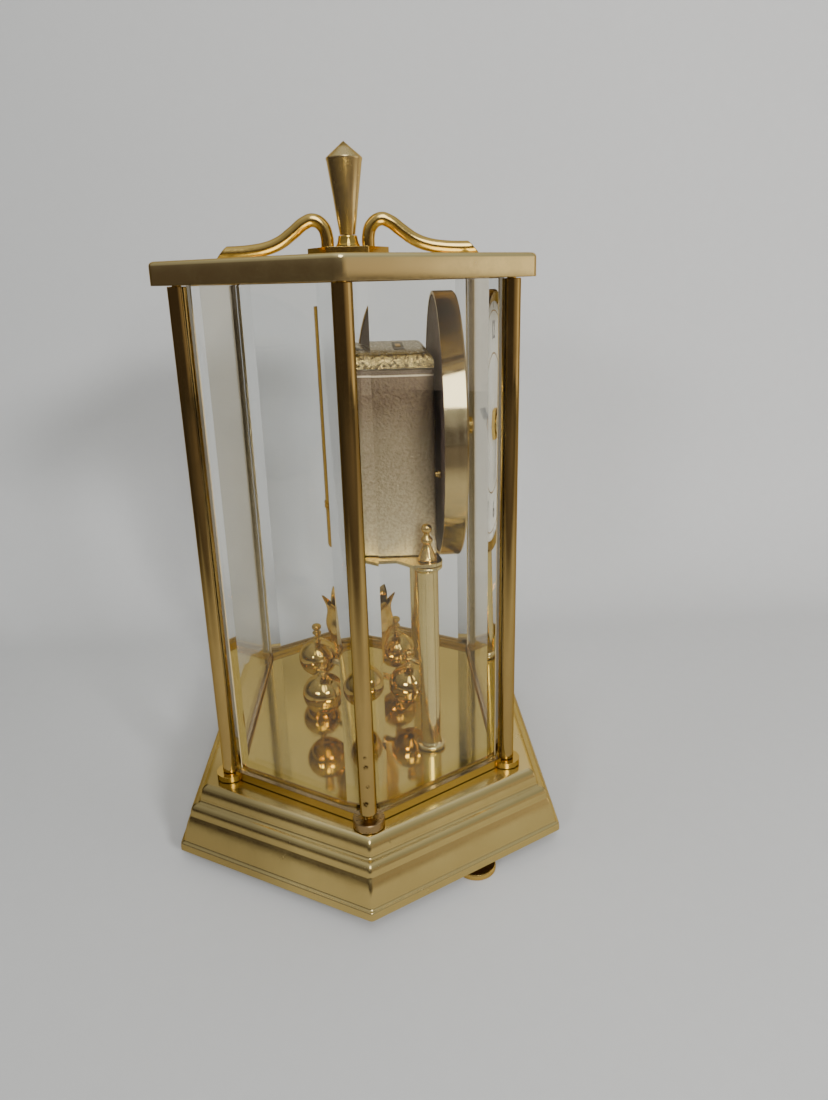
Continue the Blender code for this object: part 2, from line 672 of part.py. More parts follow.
def add_ring():
    """The lower glazing rail with a lug under each post."""
    top = RING_Z + RING_HEIGHT
    ring = rail_blank("case_ring", RING_Z, top, RING_OUTSIDE, "warm_brass")
    corners = case_corners().values()
    lugs = [peg(LUG_RADIUS, RING_Z, LUG_TOP_Z, corner) for corner in corners]
    ring = combine(ring, lugs, "UNION", "MANIFOLD")
    pocket, bore = POST_RADIUS + SEAT_GAP, ROD_RADIUS + SEAT_GAP / 2
    above, below = top + CUT_OVERRUN, RING_Z - CUT_OVERRUN
    tools = [groove_tool(top - RING_GROOVE_DEPTH, above)]
    tools += [peg(pocket, LUG_TOP_Z, above, corner) for corner in corners]
    tools += [peg(bore, below, above, corner, ROD_STEPS) for corner in corners]
    combine(ring, tools, "DIFFERENCE", "MANIFOLD")


def add_posts():
    """Six tubes and the long screws through them; the left corner's tube is the short one."""
    for corner, place in case_corners().items():
        low = POST_Z + (NEAR_POST_SHORTER if corner == "left_corner" else 0)
        high = CAP_Z - SEAT_GAP
        profile = tube_profile(POST_RADIUS, POST_BORE_RADIUS, low, high)
        turned(f"post_{corner}", profile, "dark_brass", ROUND_STEPS, loop=True, centre=(*place, 0))
        seat = CAP_Z + UPPER_FRAME_HEIGHT + SEAT_GAP
        top = seat + ROD_HEAD_HEIGHT
        screw = [(0, top), (ROD_HEAD_RADIUS, top), (ROD_HEAD_RADIUS, seat), (ROD_RADIUS, seat)]
        screw += [(ROD_RADIUS, RING_Z), (0, RING_Z)]
        turned(f"tie_rod_{corner}", screw, "steel", ROD_STEPS, centre=(*place, 0))


def mitre_reach(before, corner, after, depth):
    """How far from a corner a panel ends at one depth inside the posts' line, half a gap off the mitre."""
    turn = (before - corner).angle(after - corner) / 2
    return (depth * math.cos(turn) + SEAT_GAP / 2) / math.sin(turn)


def add_glass():
    """Six panels, mitred at the posts and ground to a slope along both upright edges."""
    low = RING_Z + RING_HEIGHT - RING_GROOVE_DEPTH + SEAT_GAP
    high = CAP_Z + RING_GROOVE_DEPTH - SEAT_GAP
    order = ["right_corner", "rear_right", "rear_left", "left_corner", "front_left", "front_right"]
    names = ["right_rear", "rear", "left_rear", "left_front", "front", "right_front"]
    places = case_corners()
    corners = [Vector(places[corner]) for corner in order]
    inner, edge = GLASS_INSET + GLASS_THICKNESS, GLASS_INSET + GLASS_BEVEL_DEPTH
    for index, name in enumerate(names):
        before, a = corners[index - 1], corners[index]
        b, after = corners[(index + 1) % len(corners)], corners[(index + 2) % len(corners)]
        half = (b - a).length / 2
        start, end = mitre_reach(before, a, b, edge) - half, half - mitre_reach(a, b, after, edge)
        back = (mitre_reach(before, a, b, inner) - half, half - mitre_reach(a, b, after, inner))
        section = [(back[0], inner), (back[1], inner), (end, edge), (end - GLASS_BEVEL_WIDTH, GLASS_INSET)]
        section += [(start + GLASS_BEVEL_WIDTH, GLASS_INSET), (start, edge)]
        panel = plate(f"glass_{name}", [section], low, high - low, "clear_glass")
        middle = (a + b) / 2
        panel.location.x, panel.location.y = middle
        panel.rotation_euler.z = math.atan2((b - a).y, (b - a).x)


def add_upper_frame():
    """The upper glazing rail that lies inside the cap's rim."""
    top = CAP_Z + UPPER_FRAME_HEIGHT
    frame = rail_blank("upper_frame", CAP_Z, top, UPPER_FRAME_OUTSIDE, "dark_brass")
    bore = ROD_RADIUS + SEAT_GAP
    below, above = CAP_Z - CUT_OVERRUN, top + CUT_OVERRUN
    tools = [groove_tool(below, CAP_Z + RING_GROOVE_DEPTH)]
    tools += [peg(bore, below, above, corner, ROD_STEPS) for corner in case_corners().values()]
    combine(frame, tools, "DIFFERENCE", "MANIFOLD")


def add_cap():
    """The pressed tray on top, its middle raised a little."""
    edge = CAP_EDGE_RADIUS
    profile = [(CAP_OUTSIDE, CAP_Z), (CAP_OUTSIDE, CAP_TOP_Z - edge)]
    for step in range(1, CORNER_STEPS + 1):
        angle = math.pi / 2 * step / CORNER_STEPS
        profile.append((CAP_OUTSIDE - edge * (1 - math.cos(angle)), CAP_TOP_Z - edge * (1 - math.sin(angle))))
    profile.append((CAP_OUTSIDE - CAP_FIELD_INSET, CAP_TOP_Z))
    profile.append((CAP_OUTSIDE - CAP_FIELD_INSET - CAP_FIELD_SLOPE, CAP_FIELD_Z))
    inner = [(CAP_OUTSIDE - CAP_WALL, CAP_Z)]
    inner += [(grow - CAP_WALL, z - CAP_WALL) for grow, z in profile[1:]]
    stack = list(reversed(inner)) + profile
    rings = [raised(hexagon(CASE_HEXAGON, grow, CAP_CORNER_RADIUS), z) for grow, z in stack]
    cap = loft("cap", rings, "polished_brass")
    low, high = CAP_FIELD_Z - CAP_WALL - CUT_OVERRUN, CAP_FIELD_Z + CUT_OVERRUN
    combine(cap, [peg(HUB_SPIGOT_RADIUS + SEAT_GAP, low, high, (0, 0), ROUND_STEPS)], "DIFFERENCE")


def add_hub_and_finial():
    """The hub plate on the cap, its collar and the diamond-pointed finial screwed through both."""
    outline = circle(HUB_RADIUS, (0, 0), 6, math.pi / 2)
    hub = plate("hub_plate", [outline], HUB_Z, HUB_HEIGHT, "warm_brass")
    low = HUB_Z - HUB_SPIGOT_LENGTH
    hub = combine(hub, [peg(HUB_SPIGOT_RADIUS, low, HUB_TOP_Z, (0, 0), ROUND_STEPS)], "UNION")
    bore = FINIAL_STUD_RADIUS + SEAT_GAP
    combine(hub, [peg(bore, low - CUT_OVERRUN, HUB_TOP_Z + CUT_OVERRUN, (0, 0))], "DIFFERENCE")

    span = COLLAR_BOTTOM_RADIUS - COLLAR_TOP_RADIUS
    outer = [(COLLAR_TOP_RADIUS + span * r, COLLAR_Z + COLLAR_HEIGHT * h) for h, r in COLLAR_PROFILE_SHARES]
    section = list(reversed(outer)) + [(bore, COLLAR_Z), (bore, COLLAR_Z + COLLAR_HEIGHT)]
    turned("hub_collar", section, "polished_brass", ROUND_STEPS, loop=True)

    outline = [(FINIAL_RADIUS * r, FINIAL_Z + FINIAL_HEIGHT * h) for r, h in FINIAL_PROFILE_SHARES]
    end = FINIAL_Z - FINIAL_STUD_LENGTH
    outline += [(FINIAL_STUD_RADIUS, FINIAL_Z), (FINIAL_STUD_RADIUS, end), (0, end)]
    turned("finial", outline, "warm_brass", ROUND_STEPS)


def add_handles():
    """Two swan-necked tubes from the hub to the front and rear edges, their tips cut aslant."""
    rest = CAP_FIELD_Z + HANDLE_TIP_CLEARANCE + HANDLE_RADIUS
    leg, foot = HANDLE_FOOT_SHARE * HANDLE_REACH, HUB_TOP_Z + SEAT_GAP
    for name, side in (("front", -1), ("rear", 1)):
        curve = bpy.data.curves.new(name, "CURVE")
        curve.dimensions = "3D"
        curve.bevel_depth = HANDLE_RADIUS
        curve.bevel_resolution = 2
        curve.resolution_u = 2
        curve.use_fill_caps = True
        spline = curve.splines.new("BEZIER")
        line = [Vector((0, side * leg, foot))]
        for along, up in HANDLE_SHARES:
            line.append(Vector((0, side * along * HANDLE_REACH, rest + up * HANDLE_RISE)))
        spline.bezier_points.add(len(line) - 1)
        for point, place in zip(spline.bezier_points, line):
            point.co = place
            point.handle_left_type = point.handle_right_type = "AUTO"
        start = spline.bezier_points[0]
        start.handle_left_type = start.handle_right_type = "FREE"
        start.handle_left = line[0] - Vector((0, 0, HANDLE_RADIUS / 2))
        start.handle_right = line[0] + Vector((0, 0, HANDLE_RADIUS / 2))
        piece = settle(add_object(f"handle_{name}", curve, "warm_brass"))
        lean = (0, side * math.cos(HANDLE_END_LEAN), math.sin(HANDLE_END_LEAN))
        trim(piece, (0, side * HANDLE_REACH, rest), lean)


def column_profile():
    """Half section of a column with a moulded ring at each end and a stud beyond each ring."""
    overhang = COLUMN_RING_RADIUS - COLUMN_RADIUS
    ring = [(COLUMN_RADIUS + overhang * r, COLUMN_RING_HEIGHT * h) for r, h in RING_PROFILE_SHARES]
    lower = [(radius, COLUMN_Z + rise) for radius, rise in ring]
    upper = [(radius, COLUMN_TOP_Z - rise) for radius, rise in ring]
    top, foot = COLUMN_TOP_Z + COLUMN_TOP_STUD_LENGTH, COLUMN_Z - COLUMN_FOOT_STUD_LENGTH
    head = [(0, top), (COLUMN_STUD_RADIUS, top), (COLUMN_STUD_RADIUS, COLUMN_TOP_Z)]
    tail = [(COLUMN_STUD_RADIUS, COLUMN_Z), (COLUMN_STUD_RADIUS, foot), (0, foot)]
    return head + upper + list(reversed(lower)) + tail


def add_columns():
    """Two columns, the turned nuts on top and the plain nuts under the base."""
    bore = COLUMN_STUD_RADIUS + SEAT_GAP
    nut_bottom = PLATFORM_TOP_Z + SEAT_GAP
    bore_top = COLUMN_TOP_Z + COLUMN_TOP_STUD_LENGTH + SEAT_GAP
    outer = [(COLUMN_NUT_RADIUS * r, nut_bottom + COLUMN_NUT_HEIGHT * h) for r, h in COLUMN_NUT_SHARES]
    nut = list(reversed(outer)) + [(bore, nut_bottom), (bore, bore_top), (0, bore_top)]
    under = LEDGE_Z - BASE_WALL - SEAT_GAP - BASE_NUT_HEIGHT
    for side, place in column_places().items():
        turned(f"column_{side}", column_profile(), "polished_brass", ROUND_STEPS, centre=(*place, 0))
        turned(f"column_nut_{side}", nut, "warm_brass", SMALL_ROUND_STEPS, centre=(*place, 0))
        edge = circle(BASE_NUT_HALF_FLATS / math.cos(math.pi / 6), place, 6)
        hole = circle(bore, place, ROD_STEPS)
        plate(f"base_nut_{side}", [edge, hole], under, BASE_NUT_HEIGHT, "steel")


def add_platform():
    """The plate across the columns that the movement stands on, widened into a lug round each column."""
    lug = PLATFORM_LUG_RADIUS
    end = HOUSING_HALF_LENGTH + PLATFORM_END
    right = [Vector((end, HOUSING_REAR)), Vector((end, COLUMN_Y + 2 * lug))]
    right.append(Vector((COLUMN_X + lug, COLUMN_Y + lug)))
    right += circle(lug, (COLUMN_X, COLUMN_Y), SMALL_ROUND_STEPS // 2, 0, -math.pi / 2)
    right.append(Vector((COLUMN_X - 2 * lug, HOUSING_FRONT)))
    left = [Vector((-point.x, point.y)) for point in reversed(right)]
    hole = COLUMN_STUD_RADIUS + SEAT_GAP
    holes = [circle(hole, place, SMALL_ROUND_STEPS) for place in column_places().values()]
    plate("movement_platform", [right + left] + holes, PLATFORM_Z, PLATFORM_THICKNESS, "polished_brass")


def battery_place():
    """Middle of the battery, and the half length and half width of the pocket that it lies in."""
    half_length = BATTERY_LENGTH / 2 + BATTERY_TIP_LENGTH + BATTERY_CLEARANCE
    half_width = BATTERY_RADIUS + BATTERY_CLEARANCE
    middle_y = (HOUSING_FRONT + HOUSING_REAR) / 2
    middle_z = HOUSING_TOP_Z - COVER_LIP_DEPTH - SEAT_GAP - BATTERY_RADIUS
    return middle_y, middle_z, half_length, half_width


def add_movement():
    """The grained housing with its battery pocket, the battery and the lift-off cover."""
    length = HOUSING_HALF_LENGTH
    low, high = (-length, HOUSING_FRONT, HOUSING_Z), (length, HOUSING_REAR, HOUSING_TOP_Z)
    housing = block("movement_housing", low, high, "grained_gold")
    round_edges(housing, HOUSING_EDGE_RADIUS, 2, lambda a, b: abs(a.z - b.z) > HOUSING_HEIGHT / 2)
    middle_y, middle_z, half_length, half_width = battery_place()
    pocket = block(
        "tool",
        (-half_length, middle_y - half_width, middle_z - BATTERY_RADIUS - SEAT_GAP),
        (half_length, middle_y + half_width, HOUSING_TOP_Z + CUT_OVERRUN),
        "steel",
    )
    combine(housing, [pocket], "DIFFERENCE")

    half = BATTERY_LENGTH / 2
    tip = half + BATTERY_TIP_LENGTH
    cell = [(0, tip), (BATTERY_TIP_RADIUS, tip), (BATTERY_TIP_RADIUS, half), (BATTERY_RADIUS, half)]
    cell += [(BATTERY_RADIUS, -half), (0, -half)]
    battery = turned("battery", cell, "battery_wrap", ROUND_STEPS, centre=(0, middle_y, middle_z))
    battery.rotation_euler.y = math.pi / 2

    top = COVER_Z + COVER_HEIGHT
    low, high = (-length, HOUSING_FRONT, COVER_Z), (length, HOUSING_REAR, top)
    cover = block("battery_cover", low, high, "grey_enamel")
    round_edges(cover, COVER_EDGE_RADIUS, 3, lambda a, b: min(a.z, b.z) > COVER_Z + COVER_HEIGHT / 2)
    inset = SEAT_GAP + COVER_LIP_WALL
    lip = block(
        "tool",
        (-half_length + inset, middle_y - half_width + inset, HOUSING_TOP_Z - COVER_LIP_DEPTH),
        (half_length - inset, middle_y + half_width - inset, COVER_Z + COVER_LIP_WALL),
        "steel",
    )
    combine(cover, [lip], "UNION")


def add_dial():
    """The threaded bush, the two dial discs, the bezel round them and the nut that holds the dial."""
    bush = [(0, BUSH_BACK), (BUSH_FLANGE_RADIUS, BUSH_BACK), (BUSH_FLANGE_RADIUS, BEZEL_BACK)]
    bush += [(BUSH_RADIUS, BEZEL_BACK), (BUSH_RADIUS, BUSH_FRONT), (BUSH_BORE_RADIUS, BUSH_FRONT)]
    bush += [(BUSH_BORE_RADIUS, DIAL_BACK), (0, DIAL_BACK)]
    turned("centre_bush", bush, "polished_brass", ROUND_STEPS, forward=True)

    disc_radius = BEZEL_RADIUS - BEZEL_WALL - SEAT_GAP
    hole = BUSH_RADIUS + SEAT_GAP
    back = tube_profile(disc_radius, hole, DIAL_BACK, DIAL_BACK + DIAL_THICKNESS)
    turned("dial_back", back, "dark_enamel", LARGE_ROUND_STEPS, loop=True, forward=True)
    face = tube_profile(disc_radius, hole, DIAL_FRONT - DIAL_THICKNESS, DIAL_FRONT)
    turned("dial_face", face, "white_enamel", LARGE_ROUND_STEPS, loop=True, forward=True)

    lip_back = BEZEL_FRONT - BEZEL_LIP_THICKNESS
    edge = BEZEL_WALL / 2
    inside = BEZEL_RADIUS - BEZEL_WALL
    bezel = [(BEZEL_RADIUS, BEZEL_FRONT - edge), (BEZEL_RADIUS, BEZEL_BACK), (inside, BEZEL_BACK)]
    bezel += [(inside, lip_back), (BEZEL_RADIUS - BEZEL_LIP, lip_back), (BEZEL_RADIUS - edge, BEZEL_FRONT)]
    turned("bezel", bezel, "polished_brass", LARGE_ROUND_STEPS, loop=True, forward=True)

    flats = circle(DIAL_NUT_HALF_FLATS / math.cos(math.pi / 6), (0, 0), 6)
    nut = plate("dial_nut", [flats, circle(hole)], DIAL_NUT_BACK, DIAL_NUT_THICKNESS, "warm_brass")
    face_forward(nut)


def face_forward(piece):
    """Lay a piece made about +Z along -Y, on the dial's axis."""
    height = piece.location.z
    piece.rotation_euler.x = math.pi / 2
    piece.location = (0, -height, DIAL_Z)


def hand_blade(length, half_width, angle, back):
    """A spade-shaped blade pointing at a clock angle, ready to be joined to its boss."""
    right = [Vector((half_width * w, length * a)) for a, w in HAND_EDGE_SHARES]
    left = [Vector((-point.x, point.y)) for point in reversed(right)]
    turn = Matrix.Rotation(-angle, 2)
    outline = [turn @ point for point in right + left]
    blade = plate("tool", [outline], back, HAND_THICKNESS, "black_enamel")
    face_forward(blade)
    return blade


def add_hands():
    """The hour hand on its tube, the minute hand on its arbor inside it, and the nut in front."""
    front = HOUR_HAND_BACK + HAND_THICKNESS
    tube_end = front - HOUR_TUBE_LENGTH
    section = [(HAND_BOSS_RADIUS, front), (HAND_BOSS_RADIUS, HOUR_HAND_BACK)]
    section += [(HOUR_TUBE_RADIUS, HOUR_HAND_BACK), (HOUR_TUBE_RADIUS, tube_end)]
    section += [(HOUR_TUBE_BORE_RADIUS, tube_end), (HOUR_TUBE_BORE_RADIUS, front)]
    hour = turned("hour_hand", section, "black_enamel", ROUND_STEPS, loop=True, forward=True)
    blade = hand_blade(HOUR_HAND_LENGTH, HOUR_HAND_HALF_WIDTH, HOUR_HAND_ANGLE, HOUR_HAND_BACK)
    hour = combine(hour, [blade], "UNION")
    low, high = tube_end - CUT_OVERRUN, front + CUT_OVERRUN
    bore = peg(HOUR_TUBE_BORE_RADIUS, low, high, (0, 0), ROUND_STEPS, forward=True)
    combine(hour, [bore], "DIFFERENCE")

    arbor_front = HAND_NUT_FRONT - 2 * HAND_NUT_CROWN
    arbor_back = DIAL_BACK + SEAT_GAP
    section = [
        (0, arbor_front), (MINUTE_ARBOR_RADIUS, arbor_front), (MINUTE_ARBOR_RADIUS, MINUTE_HAND_FRONT),
        (HAND_BOSS_RADIUS, MINUTE_HAND_FRONT), (HAND_BOSS_RADIUS, MINUTE_HAND_BACK),
        (MINUTE_ARBOR_RADIUS, MINUTE_HAND_BACK), (MINUTE_ARBOR_RADIUS, arbor_back), (0, arbor_back),
    ]
    minute = turned("minute_hand", section, "black_enamel", ROUND_STEPS, forward=True)
    blade = hand_blade(MINUTE_HAND_LENGTH, MINUTE_HAND_HALF_WIDTH, MINUTE_HAND_ANGLE, MINUTE_HAND_BACK)
    combine(minute, [blade], "UNION")

    bore = MINUTE_ARBOR_RADIUS + SEAT_GAP
    nut = [(0, HAND_NUT_FRONT), (HAND_NUT_RADIUS / 2, HAND_NUT_FRONT)]
    nut += [(HAND_NUT_RADIUS, HAND_NUT_FRONT - HAND_NUT_CROWN), (HAND_NUT_RADIUS, HAND_NUT_BACK)]
    nut += [(bore, HAND_NUT_BACK), (bore, arbor_front + SEAT_GAP), (0, arbor_front + SEAT_GAP)]
    turned("hand_nut", nut, "warm_brass", ROUND_STEPS, forward=True)


def guard_section(outer, inner, front):
    """A half-round channel about the pendulum's axis, open towards the movement."""
    axis = (0, PENDULUM_AXIS_Y)
    outside = circle(outer, axis, ROUND_STEPS // 2, 0, math.pi)
    inside = circle(inner, axis, ROUND_STEPS // 2, math.pi, -math.pi)
    legs = [Vector((-outer, front)), Vector((-inner, front))]
    return outside + legs + inside + [Vector((inner, front)), Vector((outer, front))]


def add_suspension():
    """The bracket, the flat torsion spring and the half-round guard round it."""
    front = HOUSING_REAR + SEAT_GAP
    section = guard_section(GUARD_RADIUS, GUARD_RADIUS - GUARD_WALL, front)
    guard = plate("suspension_guard", [section], GUARD_Z, GUARD_TOP_Z - GUARD_Z, "warm_brass")
    bands = []
    for index in range(2):
        level = GUARD_Z + GUARD_BAND_LEVEL + index * GUARD_BAND_SPACING
        outer, inner = GUARD_RADIUS + GUARD_BAND_RISE, GUARD_RADIUS - GUARD_WALL / 2
        section = guard_section(outer, inner, front + GUARD_BAND_RISE)
        bands.append(plate("tool", [section], level, GUARD_BAND_HEIGHT, "warm_brass"))
    combine(guard, bands, "UNION")

    back = front + BRACKET_THICKNESS
    head_z = BRACKET_TOP_Z - BRACKET_HEAD_HEIGHT
    half = BRACKET_HALF_WIDTH
    low, high = (-half, front, BRACKET_TOP_Z - BRACKET_DROP), (half, back, BRACKET_TOP_Z)
    stem = block("suspension_bracket", low, high, "steel")
    head = block("tool", (-half, front, head_z), (half, front + BRACKET_HEAD_REACH, BRACKET_TOP_Z), "steel")
    bracket = combine(stem, [head], "UNION")
    hole = peg(BRACKET_HOLE_RADIUS, head_z - CUT_OVERRUN, BRACKET_TOP_Z + CUT_OVERRUN, PENDULUM_AXIS)
    combine(bracket, [hole], "DIFFERENCE")

    axis_y = PENDULUM_AXIS_Y
    block(
        "suspension_spring",
        (-SPRING_HALF_WIDTH, axis_y - SPRING_HALF_THICKNESS, SPINDLE_TOP_Z - SPRING_ENGAGEMENT),
        (SPRING_HALF_WIDTH, axis_y + SPRING_HALF_THICKNESS, BRACKET_TOP_Z),
        "steel",
    )


def crown_rings(inset):
    """Outlines up the crown, the last one zigzagging into pointed petals."""
    rings = []
    steps = CROWN_PETALS * 4
    for index, (radius_share, height_share) in enumerate(CROWN_PROFILE_SHARES):
        last = index == len(CROWN_PROFILE_SHARES) - 1
        ring = []
        for step in range(steps):
            angle = math.tau * step / steps
            point = abs(math.cos(CROWN_PETALS * angle / 2)) if last else 1
            before = CROWN_PROFILE_SHARES[index - 1][0]
            radius = CROWN_RADIUS * (before + (radius_share - before) * point) - inset
            height = CROWN_Z + CROWN_HEIGHT * height_share - (1 - point) * CROWN_PETAL_HEIGHT
            around = Vector((radius * math.cos(angle), radius * math.sin(angle), height))
            ring.append(PENDULUM_AXIS + around)
        rings.append(ring)
    return rings


def add_pendulum():
    """The turning assembly: spindle, petalled crown, four-armed hub and four balls."""
    outer, inner = crown_rings(0), crown_rings(CROWN_WALL)
    inner[0] = [point + Vector((0, 0, CROWN_WALL)) for point in inner[0]]
    crown = loft("pendulum_crown", inner + list(reversed(outer)), "warm_brass")
    hole = SPINDLE_RADIUS + SEAT_GAP
    tool = peg(hole, CROWN_Z - CUT_OVERRUN, CROWN_Z + CROWN_WALL + CUT_OVERRUN, PENDULUM_AXIS)
    combine(crown, [tool], "DIFFERENCE")

    hub_section = tube_profile(ARM_HUB_RADIUS, hole, ARM_HUB_Z, ARM_HUB_Z + ARM_HUB_HEIGHT)
    hub = turned("pendulum_arms", hub_section, "polished_brass", ROUND_STEPS, loop=True, centre=PENDULUM_AXIS)
    arm_end = BALL_CIRCLE_RADIUS - BALL_RADIUS - SEAT_GAP
    arms = []
    for index in range(BALL_COUNT):
        angle = BALL_FIRST_ANGLE + math.tau * index / BALL_COUNT
        arm = turned("tool", rod_profile(ARM_RADIUS, ARM_HUB_RADIUS / 2, arm_end), "steel", ROD_STEPS)
        arm.matrix_world = (
            Matrix.Translation(PENDULUM_AXIS + Vector((0, 0, BALL_Z)))
            @ Matrix.Rotation(angle, 4, "Z")
            @ Matrix.Rotation(math.pi / 2, 4, "Y")
        )
        arms.append(arm)
    combine(hub, arms, "UNION")

    shoulder = CROWN_Z + CROWN_WALL + SEAT_GAP
    nut_top = ARM_HUB_Z - SEAT_GAP
    block_z = SPINDLE_TOP_Z - SPINDLE_BLOCK_HEIGHT
    bore_z = SPINDLE_TOP_Z - SPRING_ENGAGEMENT - SEAT_GAP
    nut_radius, nut_low = SPINDLE_NUT_RADIUS, nut_top - SPINDLE_NUT_HEIGHT
    shoulder_radius, shoulder_top = SPINDLE_SHOULDER_RADIUS, shoulder + SPINDLE_SHOULDER_HEIGHT
    spindle = [(0, bore_z), (SPINDLE_BLOCK_BORE_RADIUS, bore_z), (SPINDLE_BLOCK_BORE_RADIUS, SPINDLE_TOP_Z)]
    spindle += [(SPINDLE_BLOCK_RADIUS, SPINDLE_TOP_Z), (SPINDLE_BLOCK_RADIUS, block_z)]
    spindle += [(SPINDLE_RADIUS, block_z - SPINDLE_BLOCK_RADIUS), (SPINDLE_RADIUS, shoulder_top)]
    spindle += [(shoulder_radius, shoulder_top - SPINDLE_SHOULDER_HEIGHT / 2), (shoulder_radius, shoulder)]
    spindle += [(SPINDLE_RADIUS, shoulder), (SPINDLE_RADIUS, nut_top), (nut_radius, nut_top)]
    spindle += [(nut_radius, nut_top - SPINDLE_NUT_HEIGHT / 2), (SPINDLE_RADIUS, nut_low), (0, nut_low)]
    turned("pendulum_spindle", spindle, "warm_brass", SMALL_ROUND_STEPS, centre=PENDULUM_AXIS)
    add_balls()


def add_balls():
    """Four balls with turned stems, each at the end of its arm."""
    start = math.acos(BALL_STEM_RADIUS * BALL_STEM_SHARES[0][0] / BALL_RADIUS)
    stem_z = BALL_RADIUS * math.sin(start)
    profile = [(BALL_STEM_RADIUS * r, stem_z + BALL_STEM_HEIGHT * h) for r, h in reversed(BALL_STEM_SHARES)]
    rows = BALL_STEPS // 2
    for row in range(1, rows + 1):
        angle = start - (start + math.pi / 2) * row / rows
        profile.append((BALL_RADIUS * math.cos(angle) if row < rows else 0, BALL_RADIUS * math.sin(angle)))
    for index in range(BALL_COUNT):
        angle = BALL_FIRST_ANGLE + math.tau * index / BALL_COUNT
        around = Vector((BALL_CIRCLE_RADIUS * math.cos(angle), BALL_CIRCLE_RADIUS * math.sin(angle), BALL_Z))
        name = f"pendulum_ball_{index + 1}"
        turned(name, profile, "polished_brass", BALL_STEPS, centre=PENDULUM_AXIS + around)


def build():
    """Make every piece of the clock."""
    clear_scene()
    add_base()
    add_bottom_plate()
    add_feet()
    add_floor()
    add_ring()
    add_posts()
    add_glass()
    add_upper_frame()
    add_cap()
    add_hub_and_finial()
    add_handles()
    add_columns()
    add_platform()
    add_movement()
    add_dial()
    add_hands()
    add_suspension()
    add_pendulum()


build()
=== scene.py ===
import math

import bmesh
import bpy
from mathutils import Matrix, Vector


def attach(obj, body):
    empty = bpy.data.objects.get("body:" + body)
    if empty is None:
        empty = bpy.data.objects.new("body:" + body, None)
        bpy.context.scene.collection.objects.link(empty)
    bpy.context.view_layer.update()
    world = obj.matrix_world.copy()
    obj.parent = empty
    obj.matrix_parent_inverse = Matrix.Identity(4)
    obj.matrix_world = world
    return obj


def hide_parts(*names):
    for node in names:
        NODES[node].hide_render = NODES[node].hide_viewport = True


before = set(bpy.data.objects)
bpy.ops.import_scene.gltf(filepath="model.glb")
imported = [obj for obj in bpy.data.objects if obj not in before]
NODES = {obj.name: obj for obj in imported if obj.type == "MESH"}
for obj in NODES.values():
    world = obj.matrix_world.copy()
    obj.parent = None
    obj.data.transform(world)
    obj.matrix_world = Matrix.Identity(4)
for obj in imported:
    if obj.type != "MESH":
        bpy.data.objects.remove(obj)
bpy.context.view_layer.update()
MM = 0.001

# Sizes and places of the solids, in millimetres. A six-sided outline is half length, half side, half width.

BASE, CASE = (103.74, 62.4, 71.6), (84.5, 51.0, 52.0)
BASE_LOW, BASE_TOP = 5.5, 29.0
SHEET, MOULDING_SHEET = 1.0, 1.2
CAP_LOW, CAP_TOP, CAP_FIELD = 204.9, 211.9, 212.5
RING_LOW = 29.3
GLASS_LOW, GLASS_TOP = 31.0, 206.4
POST_LOW, NEAR_POST_LOW, POST_TOP = 31.8, 34.4, 204.6
SLOPE_WIDTH, SLOPE_DEPTH = 6.4, 2.5
POST_RADIUS, HANDLE_RADIUS = 2.95, 2.35
COLLAR_LOW, FINIAL_LOW = 217.0, 221.1
COLUMN_X, COLUMN_Y, COLUMN_LOW, COLUMN_TOP, COLUMN_NUT_LOW = 37.5, -23.6, 30.6, 106.4, 108.2
DIAL_HEIGHT, COVER_TOP = 150.3, 181.3
PENDULUM_Y, BALL_RADIUS, BALL_ORBIT, BALL_HEIGHT = 2.6, 8.5, 24, 45.6
CROWN_LOW, CROWN_HEIGHT, CROWN_RADIUS = 47.9, 33.0, 13.6
FEET = (("left", (-74.06, -37.8)), ("right", (74.06, -37.8)), ("rear", (0, 56.0)))
CORNERS = {
    "left_corner": (-CASE[0], 0), "rear_left": (-CASE[1], CASE[2]), "rear_right": (CASE[1], CASE[2]),
    "right_corner": (CASE[0], 0), "front_right": (CASE[1], -CASE[2]), "front_left": (-CASE[1], -CASE[2]),
}

# Places and slopes that only this scene has, in millimetres.

DIAL_MARK_BACK, DIAL_MARK_FRONT, CATCH_Y = 36.41, 36.47, -16.3
OWN_SLOPES = {"left_rear": (7.1, 2.32)}


# Camera

EYE = (-0.31305, -0.00830, 0.20392)
YAW, PITCH, ROLL = -0.0413, -0.3235, -0.0261
SENSOR, FOCAL_PIXELS, FRAME_PIXELS = 36, 796.92, 1100
CLIP_NEAR, CLIP_FAR = 0.01, 20


def add_camera():
    ahead = Vector((math.cos(PITCH) * math.cos(YAW), math.cos(PITCH) * math.sin(YAW), math.sin(PITCH)))
    right = ahead.cross(Vector((0, 0, 1))).normalized()
    up = right.cross(ahead)
    right, up = right * math.cos(ROLL) + up * math.sin(ROLL), up * math.cos(ROLL) - right * math.sin(ROLL)
    data = bpy.data.cameras.new("camera")
    data.sensor_fit = "AUTO"
    data.sensor_width = SENSOR
    data.lens = FOCAL_PIXELS * SENSOR / FRAME_PIXELS
    data.clip_start, data.clip_end = CLIP_NEAR, CLIP_FAR
    camera = bpy.data.objects.new("camera", data)
    bpy.context.scene.collection.objects.link(camera)
    axes = Matrix((right, up, -ahead)).transposed().to_4x4()
    camera.matrix_world = Matrix.Translation(EYE) @ axes
    bpy.context.scene.camera = camera


# Materials. Noise scales are in cycles a metre, heights and places in metres.

